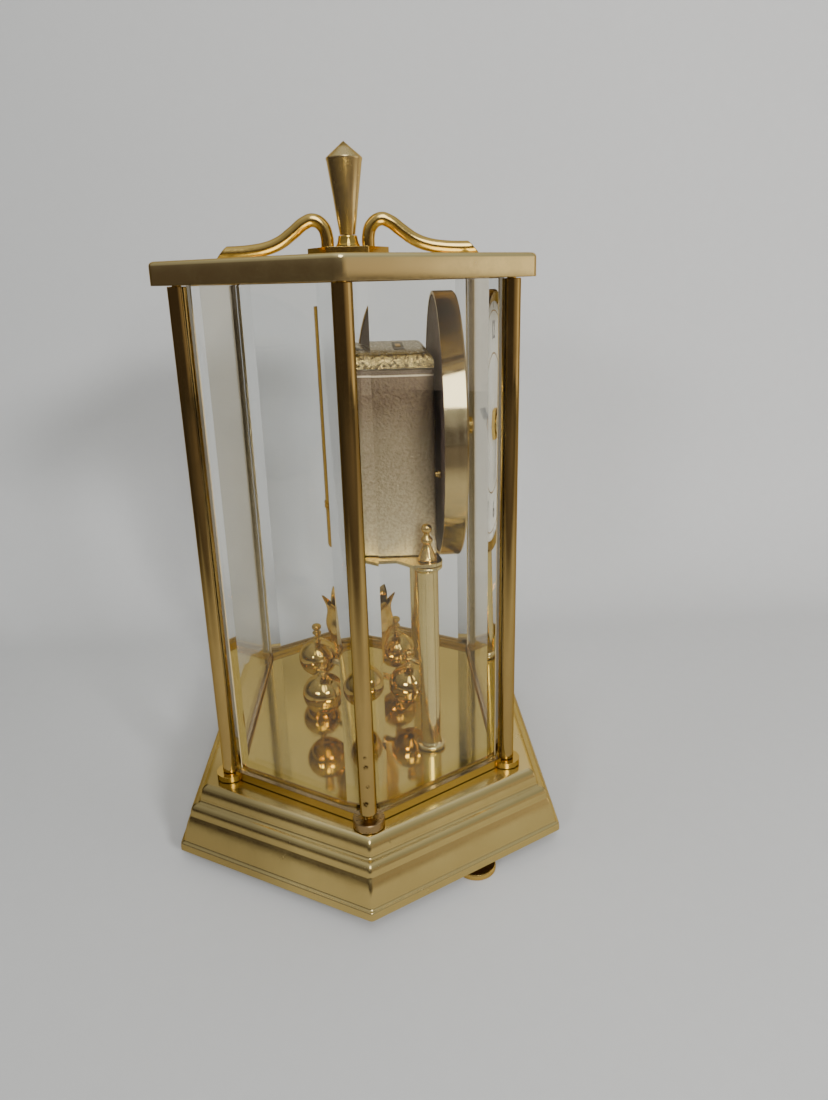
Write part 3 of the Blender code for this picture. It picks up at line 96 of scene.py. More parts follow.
CLOUDS, SLOW, DENT, SHELL_DRIFT, SPOT_FIELD, SMEAR, PATCH = 3, 28, 22, 25, 60, 70, 90
DUST, GRAIN, SPECK, FOLD, HAIR, PEBBLE, RAGGED = 160, 600, 620, 760, 900, 1000, 1400
MICRON = 0.000001
BUMP_GRAIN, BUMP_HAIR, BUMP_DENT, BUMP_PEBBLE, BUMP_FOLD = (MICRON * k for k in (50, 10, 600, 400, 500))
EDGE_BLUR = 0.0002
LEDGE_HEIGHT, RING_LINE_HEIGHT = 0.0286, 0.0322
SHELL_LIGHT, SHELL_DARK = 0.113, 0.165
SHELL_LINE, SHELL_SEAM = (0.1733, 0.1740), (0.1741, 0.1744)
COVER_SHOULDER, COVER_SMOOTH = 0.1806, 0.18105


class Nodes:
    """Short calls that fill a shader tree."""

    def __init__(self, tree):
        self.tree = tree
        self.tree.nodes.clear()

    def node(self, kind, values=(), named=None, out=0, **settings):
        made = self.tree.nodes.new("ShaderNode" + kind)
        for key, value in settings.items():
            setattr(made, key, value)
        for key, value in [*enumerate(values), *(named or {}).items()]:
            if isinstance(value, bpy.types.NodeSocket):
                self.tree.links.new(value, made.inputs[key])
            elif value is not None:
                made.inputs[key].default_value = value
        return made.outputs[out] if made.outputs else made

    def math(self, operation, *values):
        return self.node("Math", values, operation=operation)

    def spread(self, value, low, high, to_low=0.0, to_high=1.0):
        return self.node("MapRange", (value, low, high, to_low, to_high))

    def mix(self, amount, first, second, blend="MIX"):
        named = {0: amount, 6: first, 7: second}
        return self.node("Mix", named=named, out=2, data_type="RGBA", blend_type=blend)


class Shade(Nodes):
    """One node-based material, laid out in the object's own coordinates."""

    def __init__(self, name):
        self.material = bpy.data.materials.new(name)
        self.material.use_nodes = True
        super().__init__(self.material.node_tree)
        self.place = self.node("TexCoord", out="Object")

    def noise(self, scale, detail=2.0, stretch=(1, 1, 1), rough=0.5, twist=0.0):
        where = self.node("VectorMath", (self.place, stretch), operation="MULTIPLY")
        named = {"Vector": where, "Scale": scale, "Detail": detail, "Roughness": rough, "Distortion": twist}
        return self.node("TexNoise", named=named)

    def cells(self, scale):
        return self.node("TexVoronoi", named={"Vector": self.place, "Scale": scale}, feature="SMOOTH_F1")

    def axis(self, index):
        return self.node("SeparateXYZ", (self.place,), out=index)

    def near(self, point, radius):
        """1 at a point, falling to 0 at a distance."""
        away = self.node("VectorMath", (self.place, point), out="Value", operation="DISTANCE")
        return self.spread(away, radius * 0.55, radius, 1.0, 0.0)

    def bump(self, height, strength, distance, normal=None):
        named = {"Height": height, "Strength": strength, "Distance": distance, "Normal": normal}
        return self.node("Bump", named=named)

    def finish(self, **sockets):
        named = {key.replace("_", " "): value for key, value in sockets.items()}
        shader = self.node("BsdfPrincipled", named=named)
        self.node("OutputMaterial", (shader,))
        return self.material


def rgb(red, green, blue):
    return (red, green, blue, 1.0)


TARNISH, EDGE = rgb(0.055, 0.030, 0.012), rgb(0.80, 0.62, 0.30)
SEAM_TONE, LINE_TONE, COVER_TOP_TONE = rgb(0.13, 0.10, 0.07), rgb(0.60, 0.52, 0.36), rgb(0.47, 0.44, 0.36)


def metal(name, colour, dull, rough=0.10, spread=0.10, spots=0.4, wave=0.15, lines=(1, 1, 1), marks=(),
          above=None, painted_shade=()):
    """Lacquered metal: slow changes of tone, small tarnish spots, faint dents and hairline scratches.

    above is (height, colour) for the part over a height. marks are (place, radius) of single spots.
    patches: (place, radius, colour) of soft spots of painted shade.
    """
    scratch, speck_rough = 0.2, 0.35
    s = Shade(name)
    slow = s.spread(s.noise(SLOW, 3), 0.35, 0.7)
    patch = s.spread(s.noise(PATCH, 4, rough=0.6), 0.45, 0.75)
    tone = s.mix(s.math("MULTIPLY", slow, 0.5), colour, dull)
    tone = s.mix(s.math("MULTIPLY", patch, 0.25), tone, dull)
    if above:
        height, other = above
        tone = s.mix(s.spread(s.axis("Z"), height - EDGE_BLUR, height + EDGE_BLUR), tone, other)
    # Painted shade: soft darker spots at given places, standing in for shade and dark reflections.
    for place, radius, other in painted_shade:
        tone = s.mix(s.near(place, radius), tone, other)
    speck = s.spread(s.noise(SPECK, 3, rough=0.7), 0.68, 0.76)
    speck = s.math("MULTIPLY", speck, s.spread(s.noise(SPOT_FIELD, 2), 0.5, 0.66))
    speck = s.math("MULTIPLY", speck, spots)
    ragged = s.spread(s.noise(RAGGED, 2), 0.3, 0.55)
    for place, radius in marks:
        speck = s.math("MAXIMUM", speck, s.math("MULTIPLY", s.near(place, radius), ragged))
    tone = s.mix(speck, tone, TARNISH)
    hair = s.noise(HAIR, 2, stretch=lines)
    gloss = s.spread(patch, 0, 1, rough, rough + spread)
    gloss = s.math("ADD", gloss, s.math("MULTIPLY", speck, speck_rough))
    gloss = s.math("ADD", gloss, s.spread(hair, 0.3, 0.8, -0.02, 0.04))
    normal = s.bump(s.noise(DENT, 2), wave, BUMP_DENT)
    normal = s.bump(hair, scratch, BUMP_HAIR, normal)
    return s.finish(Base_Color=tone, Metallic=1.0, Roughness=gloss, Specular_Tint=EDGE, Normal=normal)


def glass(name):
    """Clear glass with faint wiping marks."""
    s = Shade(name)
    smear = s.spread(s.noise(SMEAR, 4, rough=0.65), 0.45, 0.8)
    tint = s.mix(smear, rgb(0.975, 0.985, 0.975), rgb(0.945, 0.96, 0.95))
    gloss = s.spread(smear, 0, 1, 0.0, 0.02)
    return s.finish(Base_Color=tint, Transmission_Weight=1.0, IOR=1.5, Roughness=gloss)


def enamel(name, colour, other, rough=0.4, shine=0.5):
    """Paint, print or ground glass: two close tones and a fine grain."""
    depth, uneven = 0.3, 0.12
    s = Shade(name)
    patch = s.spread(s.noise(SPOT_FIELD, 4), 0.4, 0.7)
    tone = s.mix(patch, colour, other)
    fine = s.noise(GRAIN, 3)
    gloss = s.spread(patch, 0, 1, rough, rough + uneven)
    normal = s.bump(fine, depth, BUMP_GRAIN)
    return s.finish(Base_Color=tone, Roughness=gloss, Specular_IOR_Level=shine, Normal=normal)


def pebbled(name, colour, low, top):
    """Grained metallic paint of the movement's shell, darker and browner towards the top."""
    s = Shade(name)
    cell = s.cells(PEBBLE)
    fine = s.noise(PEBBLE * 1.1, 3, rough=0.6)
    height = s.math("ADD", s.math("MULTIPLY", cell, 0.5), s.math("MULTIPLY", fine, 0.9))
    drift = s.spread(s.noise(SHELL_DRIFT, 3), 0, 1, -0.02, 0.02)
    rise = s.spread(s.math("ADD", s.axis("Z"), drift), SHELL_LIGHT, SHELL_DARK)
    tone = s.mix(rise, colour, top)
    tone = s.mix(s.spread(height, 0.55, 0.95, 0, 0.6), tone, low)
    seam = s.spread(s.axis("Z"), *SHELL_SEAM)
    low_edge = s.spread(s.axis("Z"), SHELL_LINE[0], SHELL_LINE[0] + EDGE_BLUR / 2)
    high_edge = s.spread(s.axis("Z"), SHELL_LINE[1], SHELL_LINE[1] - EDGE_BLUR / 2)
    tone = s.mix(seam, tone, SEAM_TONE)
    tone = s.mix(s.math("MULTIPLY", low_edge, high_edge), tone, LINE_TONE)
    gloss = s.spread(height, 0.1, 0.9, 0.24, 0.42)
    normal = s.bump(height, 0.55, BUMP_PEBBLE)
    return s.finish(Base_Color=tone, Metallic=0.85, Roughness=gloss, Specular_Tint=EDGE, Normal=normal)


def crinkled(name, colour, low):
    """Foil-bright crinkle finish of the battery cover's sides, and its smooth top."""
    s = Shade(name)
    fold = s.noise(FOLD, 3, rough=0.6, twist=1.2)
    cell = s.cells(PEBBLE)
    side = s.spread(s.axis("Z"), COVER_SMOOTH, COVER_SHOULDER)
    height = s.math("ADD", s.math("MULTIPLY", fold, 1.2), s.math("MULTIPLY", cell, 0.5))
    folded = s.math("MULTIPLY", height, side)
    tone = s.mix(s.spread(height, 0.66, 0.86), low, colour)
    tone = s.mix(side, COVER_TOP_TONE, tone)
    gloss = s.spread(height, 0.5, 1.1, 0.32, 0.15)
    return s.finish(Base_Color=tone, Metallic=0.95, Roughness=gloss, Normal=s.bump(folded, 0.6, BUMP_FOLD))


def floor_paint(name):
    """Pale studio paint with painted shade darkening its +Y side, warmer in reflections, and darker there
    away from the clock.
    """
    s = Shade(name)
    slow = s.spread(s.noise(CLOUDS, 3), 0.3, 0.7)
    fine = s.noise(DUST, 4)
    # Painted shade: the paint grows darker towards +Y, standing in for the dimmer light and soft shadow on
    # that side.
    side = s.spread(s.axis("Y"), 0.35, -0.35)
    tone = s.mix(side, rgb(0.49, 0.505, 0.515), rgb(0.63, 0.635, 0.64))
    tone = s.mix(s.math("MULTIPLY", slow, 0.25), tone, rgb(0.50, 0.50, 0.50))
    tone = s.mix(s.spread(fine, 0.3, 0.8, 0, 0.08), tone, rgb(0.42, 0.42, 0.42))
    reflected = s.math("GREATER_THAN", s.node("LightPath", out="Glossy Depth"), 0.5)
    tone = s.mix(reflected, tone, rgb(0.80, 0.72, 0.56), blend="MULTIPLY")
    ends = s.math("MAXIMUM", s.spread(s.axis("X"), -0.20, -0.38), s.spread(s.axis("Y"), 0.24, 0.44))
    warm_end = s.math("MULTIPLY", s.spread(s.axis("Y"), -0.32, -0.55), reflected)
    tone = s.mix(warm_end, tone, rgb(0.30, 0.24, 0.17))
    tone = s.mix(s.math("MULTIPLY", ends, reflected), tone, rgb(0.06, 0.045, 0.034))
    front = s.node("BsdfPrincipled", named={"Base Color": tone, "Roughness": 0.7})
    behind = s.node("NewGeometry", out="Backfacing")
    s.node("OutputMaterial", (s.node("MixShader", (behind, front, s.node("BsdfTransparent"))),))
    return s.material


# Shapes

class Form:
    """Vertices and faces gathered into one mesh."""

    def __init__(self):
        self.verts, self.faces = [], []

    def add(self, verts, faces, matrix=None):
        start = len(self.verts)
        self.verts += [tuple(matrix @ Vector(v)) if matrix else tuple(v) for v in verts]
        self.faces += [tuple(start + i for i in face) for face in faces]
        return self

    def rings(self, rings, matrix=None, ends=True):
        """Skin a stack of equal outlines; a ring of one point closes it to a tip."""
        verts, faces, starts = [], [], []
        for ring in rings:
            starts.append(len(verts))
            verts += [tuple(p) for p in ring]
        for a in range(len(rings) - 1):
            one, two = len(rings[a]), len(rings[a + 1])
            steps = max(one, two)
            for i in range(steps):
                j = (i + 1) % steps
                low = [starts[a] + i, starts[a] + j] if one > 1 else [starts[a]]
                high = [starts[a + 1] + j, starts[a + 1] + i] if two > 1 else [starts[a + 1]]
                faces.append(low + high)
        if ends:
            if len(rings[0]) > 2:
                faces.append(list(reversed(range(starts[0], starts[0] + len(rings[0])))))
            if len(rings[-1]) > 2:
                faces.append(list(range(starts[-1], starts[-1] + len(rings[-1]))))
        return self.add(verts, faces, matrix)

    def lathe(self, profile, matrix=None, steps=64, shape=None, ends=True):
        """Turn (radius, height) points in millimetres; shape(angle, height) scales the radius."""
        rings = []
        for r, h in profile:
            if r < 1e-6:
                rings.append([(0, 0, h * MM)])
                continue
            ring = []
            for i in range(steps):
                a = math.tau * i / steps
                k = r * (shape(a, h) if shape else 1) * MM
                ring.append((k * math.cos(a), k * math.sin(a), h * MM))
            rings.append(ring)
        return self.rings(rings, matrix, ends=ends)

    def piece(self, name, body, slot, look, replaces=(), angle=35.0):
        mesh = bpy.data.meshes.new(name)
        mesh.from_pydata(self.verts, [], self.faces)
        work = bmesh.new()
        work.from_mesh(mesh)
        bmesh.ops.recalc_face_normals(work, faces=work.faces)
        work.to_mesh(mesh)
        work.free()
        return add_piece(name, mesh, body, look, replaces, angle)


def add_piece(name, mesh, body, look, replaces=(), angle=35.0):
    """Shade a mesh smoothly up to an angle, and let it ride on a body."""
    for face in mesh.polygons:
        face.use_smooth = True
    mesh.set_sharp_from_angle(angle=math.radians(angle))
    mesh.materials.append(look)
    made = bpy.data.objects.new(name, mesh)
    bpy.context.scene.collection.objects.link(made)
    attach(made, body)
    if replaces:
        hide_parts(*replaces)
    return made


def at(x, y, z):
    return Matrix.Translation((x * MM, y * MM, z * MM))


def facing_front(x, y, z):
    """A matrix that lays a form made about +Z along -Y."""
    return at(x, y, z) @ Matrix.Rotation(math.pi / 2, 4, "X")


def lift(points, height):
    """A (radius, height) outline moved up."""
    return [(r, height + h) for r, h in points]


def softened(points, count):
    """Catmull-Rom points through an outline, count to each stretch."""
    made = []
    for i in range(len(points) - 1):
        p0, p1 = points[max(i - 1, 0)], points[i]
        p2, p3 = points[i + 1], points[min(i + 2, len(points) - 1)]
        for k in range(count):
            t = k / count
            made.append(tuple(
                0.5 * (2 * b + (c - a) * t + (2 * a - 5 * b + 4 * c - d) * t * t
                       + (3 * b - a - 3 * c + d) * t ** 3)
                for a, b, c, d in zip(p0, p1, p2, p3)
            ))
    made.append(tuple(points[-1]))
    return made


def rounded(points, count=3):
    """A softened outline for turning, whose radius never falls below 0."""
    return [(max(r, 0.0), h) for r, h in softened(points, count)]


def arc(radius, start, end, centre, steps):
    """Points of an arc in the (radius, height) plane, angles in degrees."""
    angles = [math.radians(start + (end - start) * i / steps) for i in range(steps + 1)]
    return [(centre[0] + radius * math.cos(a), centre[1] + radius * math.sin(a)) for a in angles]


def hexagon(shape, grow, radius, height, steps=8):
    """A six-sided outline with rounded corners at one height, in metres; the sizes are in millimetres."""
    half_length, half_side, half_width = shape
    corners = [Vector(c) for c in (
        (half_length, 0), (half_side, half_width), (-half_side, half_width),
        (-half_length, 0), (-half_side, -half_width), (half_side, -half_width),
    )]
    normals = []
    for start, end in zip(corners, corners[1:] + corners[:1]):
        along = (end - start).normalized()
        normals.append(Vector((along.y, -along.x)))
    ring = []
    for index, corner in enumerate(corners):
        before, after = normals[index - 1], normals[index]
        centre = corner + (before + after) / (1 + before.dot(after)) * (grow - radius)
        first, turn = math.atan2(before.y, before.x), before.angle(after)
        for step in range(steps + 1):
            a = first + turn * step / steps
            x, y = centre.x + radius * math.cos(a), centre.y + radius * math.sin(a)
            ring.append((x * MM, y * MM, height * MM))
    return ring


def smoothing():
    """Geometry nodes that join a node's loose faces and shade its round parts smoothly."""
    angle, reach = 32.0, 0.00001
    tree = bpy.data.node_groups.new("smoothing", "GeometryNodeTree")
    tree.interface.new_socket("Geometry", in_out="INPUT", socket_type="NodeSocketGeometry")
    tree.interface.new_socket("Geometry", in_out="OUTPUT", socket_type="NodeSocketGeometry")
    begin, end = tree.nodes.new("NodeGroupInput"), tree.nodes.new("NodeGroupOutput")
    weld = tree.nodes.new("GeometryNodeMergeByDistance")
    weld.inputs["Distance"].default_value = reach
    faces = tree.nodes.new("GeometryNodeSetShadeSmooth")
    faces.domain = "FACE"
    edges = tree.nodes.new("GeometryNodeSetShadeSmooth")
    edges.domain = "EDGE"
    edges.inputs["Shade Smooth"].default_value = False
    turn = tree.nodes.new("GeometryNodeInputMeshEdgeAngle")
    sharp = tree.nodes.new("FunctionNodeCompare")
    sharp.operation = "GREATER_THAN"
    sharp.inputs[1].default_value = math.radians(angle)
    link = tree.links.new
    link(begin.outputs[0], weld.inputs[0])
    link(weld.outputs[0], faces.inputs[0])
    link(faces.outputs[0], edges.inputs[0])
    link(turn.outputs["Unsigned Angle"], sharp.inputs[0])
    link(sharp.outputs[0], edges.inputs["Selection"])
    link(edges.outputs[0], end.inputs[0])
    return tree


# Light and stage, in metres

AIM = (0, 0, 0.1)
SIDE_LIGHT = (1.0, 0.99, 0.97)


def add_light(name, place, size, power, colour=SIDE_LIGHT, size_y=None, glossy=False):
    data = bpy.data.lights.new(name, "AREA")
    data.shape, data.size, data.size_y = "ELLIPSE", size, size_y or size
    data.energy, data.color = power, colour
    light = bpy.data.objects.new(name, data)
    bpy.context.scene.collection.objects.link(light)
    light.location = place
    light.rotation_euler = (Vector(AIM) - Vector(place)).to_track_quat("-Z", "Y").to_euler()
    light.visible_camera = False
    light.visible_glossy = glossy


def add_world():
    """Plain grey as seen directly; bounced light meets a dark horizon, a warm side and a grey ceiling."""
    world = bpy.data.worlds.new("studio")
    bpy.context.scene.world = world
    world.use_nodes = True
    w = Nodes(world.node_tree)
    way = w.node("TexCoord", out="Generated")
    across, height = [w.node("SeparateXYZ", (way,), out=axis) for axis in ("Y", "Z")]
    horizon = w.mix(w.spread(across, -0.25, -0.92), rgb(0.070, 0.054, 0.044), rgb(0.48, 0.38, 0.27))
    horizon = w.mix(w.spread(across, -0.930, -0.950), horizon, rgb(0.96, 0.81, 0.60))
    ceiling = w.mix(w.spread(across, 0.5, -0.7), rgb(0.26, 0.25, 0.23), rgb(0.35, 0.35, 0.32))
    ceiling = w.mix(w.spread(height, 0.6, 0.95), ceiling, rgb(0.55, 0.55, 0.53))
    room = w.mix(w.spread(height, 0.06, 0.40), horizon, ceiling)
    depths = [w.node("LightPath", out=kind + " Depth") for kind in ("Glossy", "Diffuse")]
    direct = w.math("LESS_THAN", w.math("ADD", *depths), 0.5)
    both = w.mix(direct, room, rgb(0.48, 0.49, 0.49))
    w.node("OutputWorld", (w.node("Background", (both, 1.0)),))


def add_stage(paint):
    """A plain pale floor that rises in a soft cove into a low wall behind the clock."""
    half, front, foot, radius, steps, sweep = 1.3, -1.3, 0.135, 0.11, 16, 0.93
    wall_top, wall_lean = 0.50, 0.05
    profile = [(front, 0.0), (foot, 0.0)]
    for i in range(1, steps + 1):
        a = math.pi / 2 * i / steps * sweep
        profile.append((foot + radius * math.sin(a), radius * (1 - math.cos(a))))
    profile.append((foot + radius + wall_lean, wall_top))
    mesh = bpy.data.meshes.new("stage_sweep")
    verts, faces = [], []
    for x, z in profile:
        verts += [(x, half, z), (x, -half, z)]
    for i in range(len(profile) - 1):
        faces.append((2 * i, 2 * i + 1, 2 * i + 3, 2 * i + 2))
    mesh.from_pydata(verts, [], faces)
    for face in mesh.polygons:
        face.use_smooth = True
    mesh.materials.append(paint)
    stage = bpy.data.objects.new("stage_sweep", mesh)
    bpy.context.scene.collection.objects.link(stage)


# Finishes

NEAR_MARKS = (
    ((-0.0874, 0.0002, 0.0573), 0.0007), ((-0.0874, 0.0001, 0.0537), 0.0011),
    ((-0.0874, -0.0003, 0.0462), 0.0008), ((-0.0873, 0.0006, 0.0394), 0.0013),
)
# Painted shade: a soft dark spot low on the base's +Y flank, standing in for the dark floor's reflection and
# contact shade there.
BASE_PAINTED_SHADE = (((-0.064, 0.064, 0.009), 0.048, rgb(0.52, 0.42, 0.19)),)
# Painted shade: a dark spot over the bezel's top, standing in for the dark reflection above its bright band.
BEZEL_PAINTED_SHADE = (((0.0, -0.033, 0.215), 0.062, rgb(0.20, 0.14, 0.075)),)
GOLD, GOLD_DULL = rgb(0.85, 0.62, 0.21), rgb(0.66, 0.45, 0.14)
polished = metal("polished_brass", rgb(0.93, 0.80, 0.42), rgb(0.80, 0.66, 0.31), rough=0.11)
# Painted highlight: the base's top face over LEDGE_HEIGHT is painted lighter, standing in for the bright
# reflection on the ledge.
stamped = metal("stamped_brass", rgb(0.76, 0.63, 0.29), rgb(0.62, 0.49, 0.21), rough=0.17, wave=0.3,
                spots=0.6, above=(LEDGE_HEIGHT, rgb(0.96, 0.81, 0.42)), painted_shade=BASE_PAINTED_SHADE)
mirror = metal("mirror_brass", rgb(0.66, 0.46, 0.12), rgb(0.55, 0.38, 0.10), rough=0.03, spread=0.04,
               wave=0.04, spots=0.2)
plate_finish = metal("plate_brass", rgb(0.80, 0.66, 0.26), rgb(0.72, 0.58, 0.21), rough=0.07, spread=0.04,
                     wave=0.04)
warm = metal("warm_brass", GOLD, GOLD_DULL, rough=0.12)
posts = metal("post_brass", rgb(0.56, 0.42, 0.18), rgb(0.43, 0.31, 0.12), rough=0.085, spots=0.7,
              marks=NEAR_MARKS)
rail = metal("rail_brass", rgb(0.76, 0.62, 0.34), rgb(0.52, 0.40, 0.24), rough=0.16, spots=0.8)
lug = metal("lug_brass", rgb(0.46, 0.34, 0.19), rgb(0.34, 0.24, 0.13), rough=0.28, spots=0.9)
ring_finish = metal("ring_brass", rgb(0.90, 0.66, 0.22), GOLD_DULL, rough=0.12, spots=0.7,
                    above=(RING_LINE_HEIGHT, rgb(0.48, 0.38, 0.26)))
# Painted light: a lighter, rougher copy of the post brass for the posts on the far side.
far_posts_painted_light = metal("far_post_brass_painted_light", rgb(0.92, 0.78, 0.46), rgb(0.80, 0.64, 0.34), rough=0.32)
spike_finish = metal("spike_brass", rgb(0.90, 0.74, 0.40), rgb(0.74, 0.58, 0.28), rough=0.20)
turned_tan = metal("turned_brass", rgb(0.80, 0.67, 0.38), rgb(0.70, 0.56, 0.30), rough=0.09,
                   lines=(0.03, 1, 0.03), painted_shade=BEZEL_PAINTED_SHADE)
steel = metal("steel", rgb(0.62, 0.60, 0.56), rgb(0.42, 0.38, 0.33), rough=0.25)
clear = glass("clear_glass")
ground = enamel("ground_glass", rgb(0.44, 0.34, 0.17), rgb(0.34, 0.26, 0.13), rough=0.35)
grained = pebbled("grained_gold", rgb(0.54, 0.46, 0.29), rgb(0.20, 0.15, 0.08), rgb(0.13, 0.092, 0.06))
cover_finish = crinkled("crinkled_gold", rgb(0.80, 0.63, 0.27), rgb(0.10, 0.07, 0.03))
brown = enamel("dark_enamel", rgb(0.11, 0.075, 0.068), rgb(0.13, 0.092, 0.08), rough=0.5, shine=0.12)
white = enamel("white_enamel", rgb(0.80, 0.78, 0.70), rgb(0.74, 0.71, 0.62), rough=0.35)
black = enamel("black_enamel", rgb(0.015, 0.015, 0.016), rgb(0.03, 0.03, 0.03), rough=0.3)
wrap = enamel("battery_wrap", rgb(0.06, 0.06, 0.065), rgb(0.09, 0.09, 0.09), rough=0.3)
LOOKS = {
    "polished_brass": polished, "warm_brass": warm, "dark_brass": posts, "brushed_brass": plate_finish,
    "steel": steel, "clear_glass": clear, "grained_gold": grained, "grey_enamel": cover_finish,
    "dark_enamel": brown, "white_enamel": white, "black_enamel": black, "battery_wrap": wrap,
}
NODE_LOOKS = {"bezel": turned_tan, "upper_frame": rail, "case_ring": ring_finish}
EDGES = {"hub_plate": 0.4, "upper_frame": 0.2, "movement_housing": 0.3, "movement_platform": 0.25,
         "suspension_guard": 0.12, "floor_plate": 0.1}
EDGE_ANGLE = 25


def dress_nodes():
    """Give every solid its finish, smooth its round parts and break the edges of some."""
    soften = smoothing()
    for name, node in NODES.items():
        old = node.data.materials[0].name if node.data.materials else ""
        look = NODE_LOOKS.get(name) or next((LOOKS[k] for k in LOOKS if k in old), polished)
        node.data.materials.clear()
        node.data.materials.append(look)
        if name.startswith("glass"):
            node.visible_shadow = False
        else:
            node.modifiers.new("smooth", "NODES").node_group = soften
    for name, width in EDGES.items():
        edge = NODES[name].modifiers.new("edge", "BEVEL")
        edge.width, edge.segments = width * MM, 2
        edge.limit_method, edge.angle_limit = "ANGLE", math.radians(EDGE_ANGLE)
        edge.harden_normals = True


# Pieces of the clock

def add_base():
    """The stamped moulding with soft steps and tight corners."""
    run, clearance, rise = 11.0, 0.25, BASE_TOP - BASE_LOW
    corner, inner_corner, ledge, hole, turned_in = 1.6, 1.2, 11.7, 12, 7.0
    shares = ((0.00, 0.000), (0.02, 0.110), (0.09, 0.130), (0.13, 0.150), (0.15, 0.200), (0.19, 0.290),
              (0.25, 0.390), (0.33, 0.490), (0.395, 0.555), (0.42, 0.620), (0.48, 0.685), (0.575, 0.720),
              (0.72, 0.745), (0.75, 0.830), (0.80, 0.905), (0.87, 0.960), (1.00, 1.000))
    fine = softened([(-run * i - clearance, BASE_LOW + rise * h) for i, h in shares], 4)
    rings = [hexagon(BASE, grow, corner, z) for grow, z in fine]
    rings.append(hexagon(BASE, -ledge, corner, BASE_TOP))
    rings += [hexagon(CASE, -hole, corner, z) for z in (BASE_TOP, BASE_TOP - MOULDING_SHEET)]
    rings += [hexagon(BASE, grow - MOULDING_SHEET, inner_corner, z - MOULDING_SHEET)
              for grow, z in reversed(fine) if z > turned_in]
    rings.append(hexagon(BASE, -clearance - MOULDING_SHEET, inner_corner, BASE_LOW))
    rings.append(rings[0])
    form = Form().rings(rings, ends=False)
    form.piece("moulding", "base", "polished_brass", stamped, ("base_moulding",), angle=60)


def add_cap():
    """The pressed tray with a rolled edge and round corners."""
    grow, roll, corner, middle = 7.2, 1.4, 3.6, 4.0
    step = ((-7.0, 0.0), (-7.8, 0.02), (-8.6, 0.2), (-9.8, 0.48), (-10.8, CAP_FIELD - CAP_TOP))
    outer = [(grow, CAP_LOW), (grow + 0.05, CAP_LOW + 0.2)]
    outer += arc(roll, 0, 90, (grow - roll, CAP_TOP - roll), 8) + lift(step, CAP_TOP)
    rings = [hexagon(CASE, g, corner, z) for g, z in outer]
    steps = len(rings[0])
    disc = [(middle * math.cos(math.tau * i / steps) * MM, middle * math.sin(math.tau * i / steps) * MM)
            for i in range(steps)]
    rings += [[(x, y, z * MM) for x, y in disc] for z in (CAP_FIELD, CAP_FIELD - SHEET)]
    rings += [hexagon(CASE, g - SHEET, corner, z - SHEET) for g, z in reversed(outer[2:])]
    rings.append(hexagon(CASE, grow - SHEET, corner, CAP_LOW))
    rings.append(rings[0])
    Form().rings(rings, ends=False).piece("tray", "case", "polished_brass", stamped, ("cap",), angle=50)


def add_minute_track():
    outside, hour_mark, minute_mark = 46.6, (44.0, 0.42), (45.3, 0.16)
    made = Form()
    for minute in range(60):
        a = math.tau * minute / 60
        low, half = hour_mark if minute % 5 == 0 else minute_mark
        corners = [(-half, low), (half, low), (half, outside), (-half, outside)]
        verts = []
        for depth in (DIAL_MARK_BACK, DIAL_MARK_FRONT):
            for across, out in corners:
                verts.append(((across * math.cos(a) + out * math.sin(a)) * MM, -depth * MM,
                              (DIAL_HEIGHT + out * math.cos(a) - across * math.sin(a)) * MM))
        made.add(verts, [(0, 1, 2, 3), (4, 5, 6, 7), (0, 1, 5, 4), (1, 2, 6, 5), (2, 3, 7, 6), (3, 0, 4, 7)])
    made.piece("minute_track", "base", "black_enamel", black)


def add_dial_marks():
    """Plain numerals, rings and a minute track on the dial's face, and the pillar screws behind it."""
    add_minute_track()
    for radius, width in ((42.9, 0.35), (47.3, 0.35), (27.0, 0.5)):
        line = [(radius, DIAL_MARK_BACK), (radius, DIAL_MARK_FRONT), (radius + width, DIAL_MARK_FRONT),
                (radius + width, DIAL_MARK_BACK), (radius, DIAL_MARK_BACK)]
        form = Form().lathe(line, facing_front(0, 0, DIAL_HEIGHT), 128, ends=False)
        form.piece("ring_line_%d" % radius, "base", "warm_brass", warm)
    size, thick, bold, reach, sunk = 9.5, 0.03, 0.12, 35.6, 0.02
    for hour in range(1, 13):
        a = math.tau * hour / 12
        text = bpy.data.curves.new("numeral_%d" % hour, "FONT")
        text.body, text.size, text.extrude, text.offset = str(hour), size * MM, thick * MM, bold * MM
        text.align_x, text.align_y = "CENTER", "CENTER"
        label = bpy.data.objects.new("numeral_%d" % hour, text)
        bpy.context.scene.collection.objects.link(label)
        label.rotation_euler = (math.pi / 2, 0, 0)
        label.location = (reach * MM * math.sin(a), (sunk - DIAL_MARK_FRONT) * MM,
                          (DIAL_HEIGHT + reach * math.cos(a)) * MM)
        text.materials.append(black)
        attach(label, "base")
    screw_x, screw_y, screw_z = 30.5, -28.55, 138.1
    screw = [(1.1, -1.5), (1.1, 0), (1.8, 0), (1.8, 0.8), (1.45, 1.2), (0, 1.3)]
    for index, x in enumerate((-screw_x, screw_x)):
        form = Form().lathe(screw, facing_front(x, screw_y, screw_z), 32)
        form.piece("pillar_screw_%d" % (index + 1), "base", "warm_brass", warm)


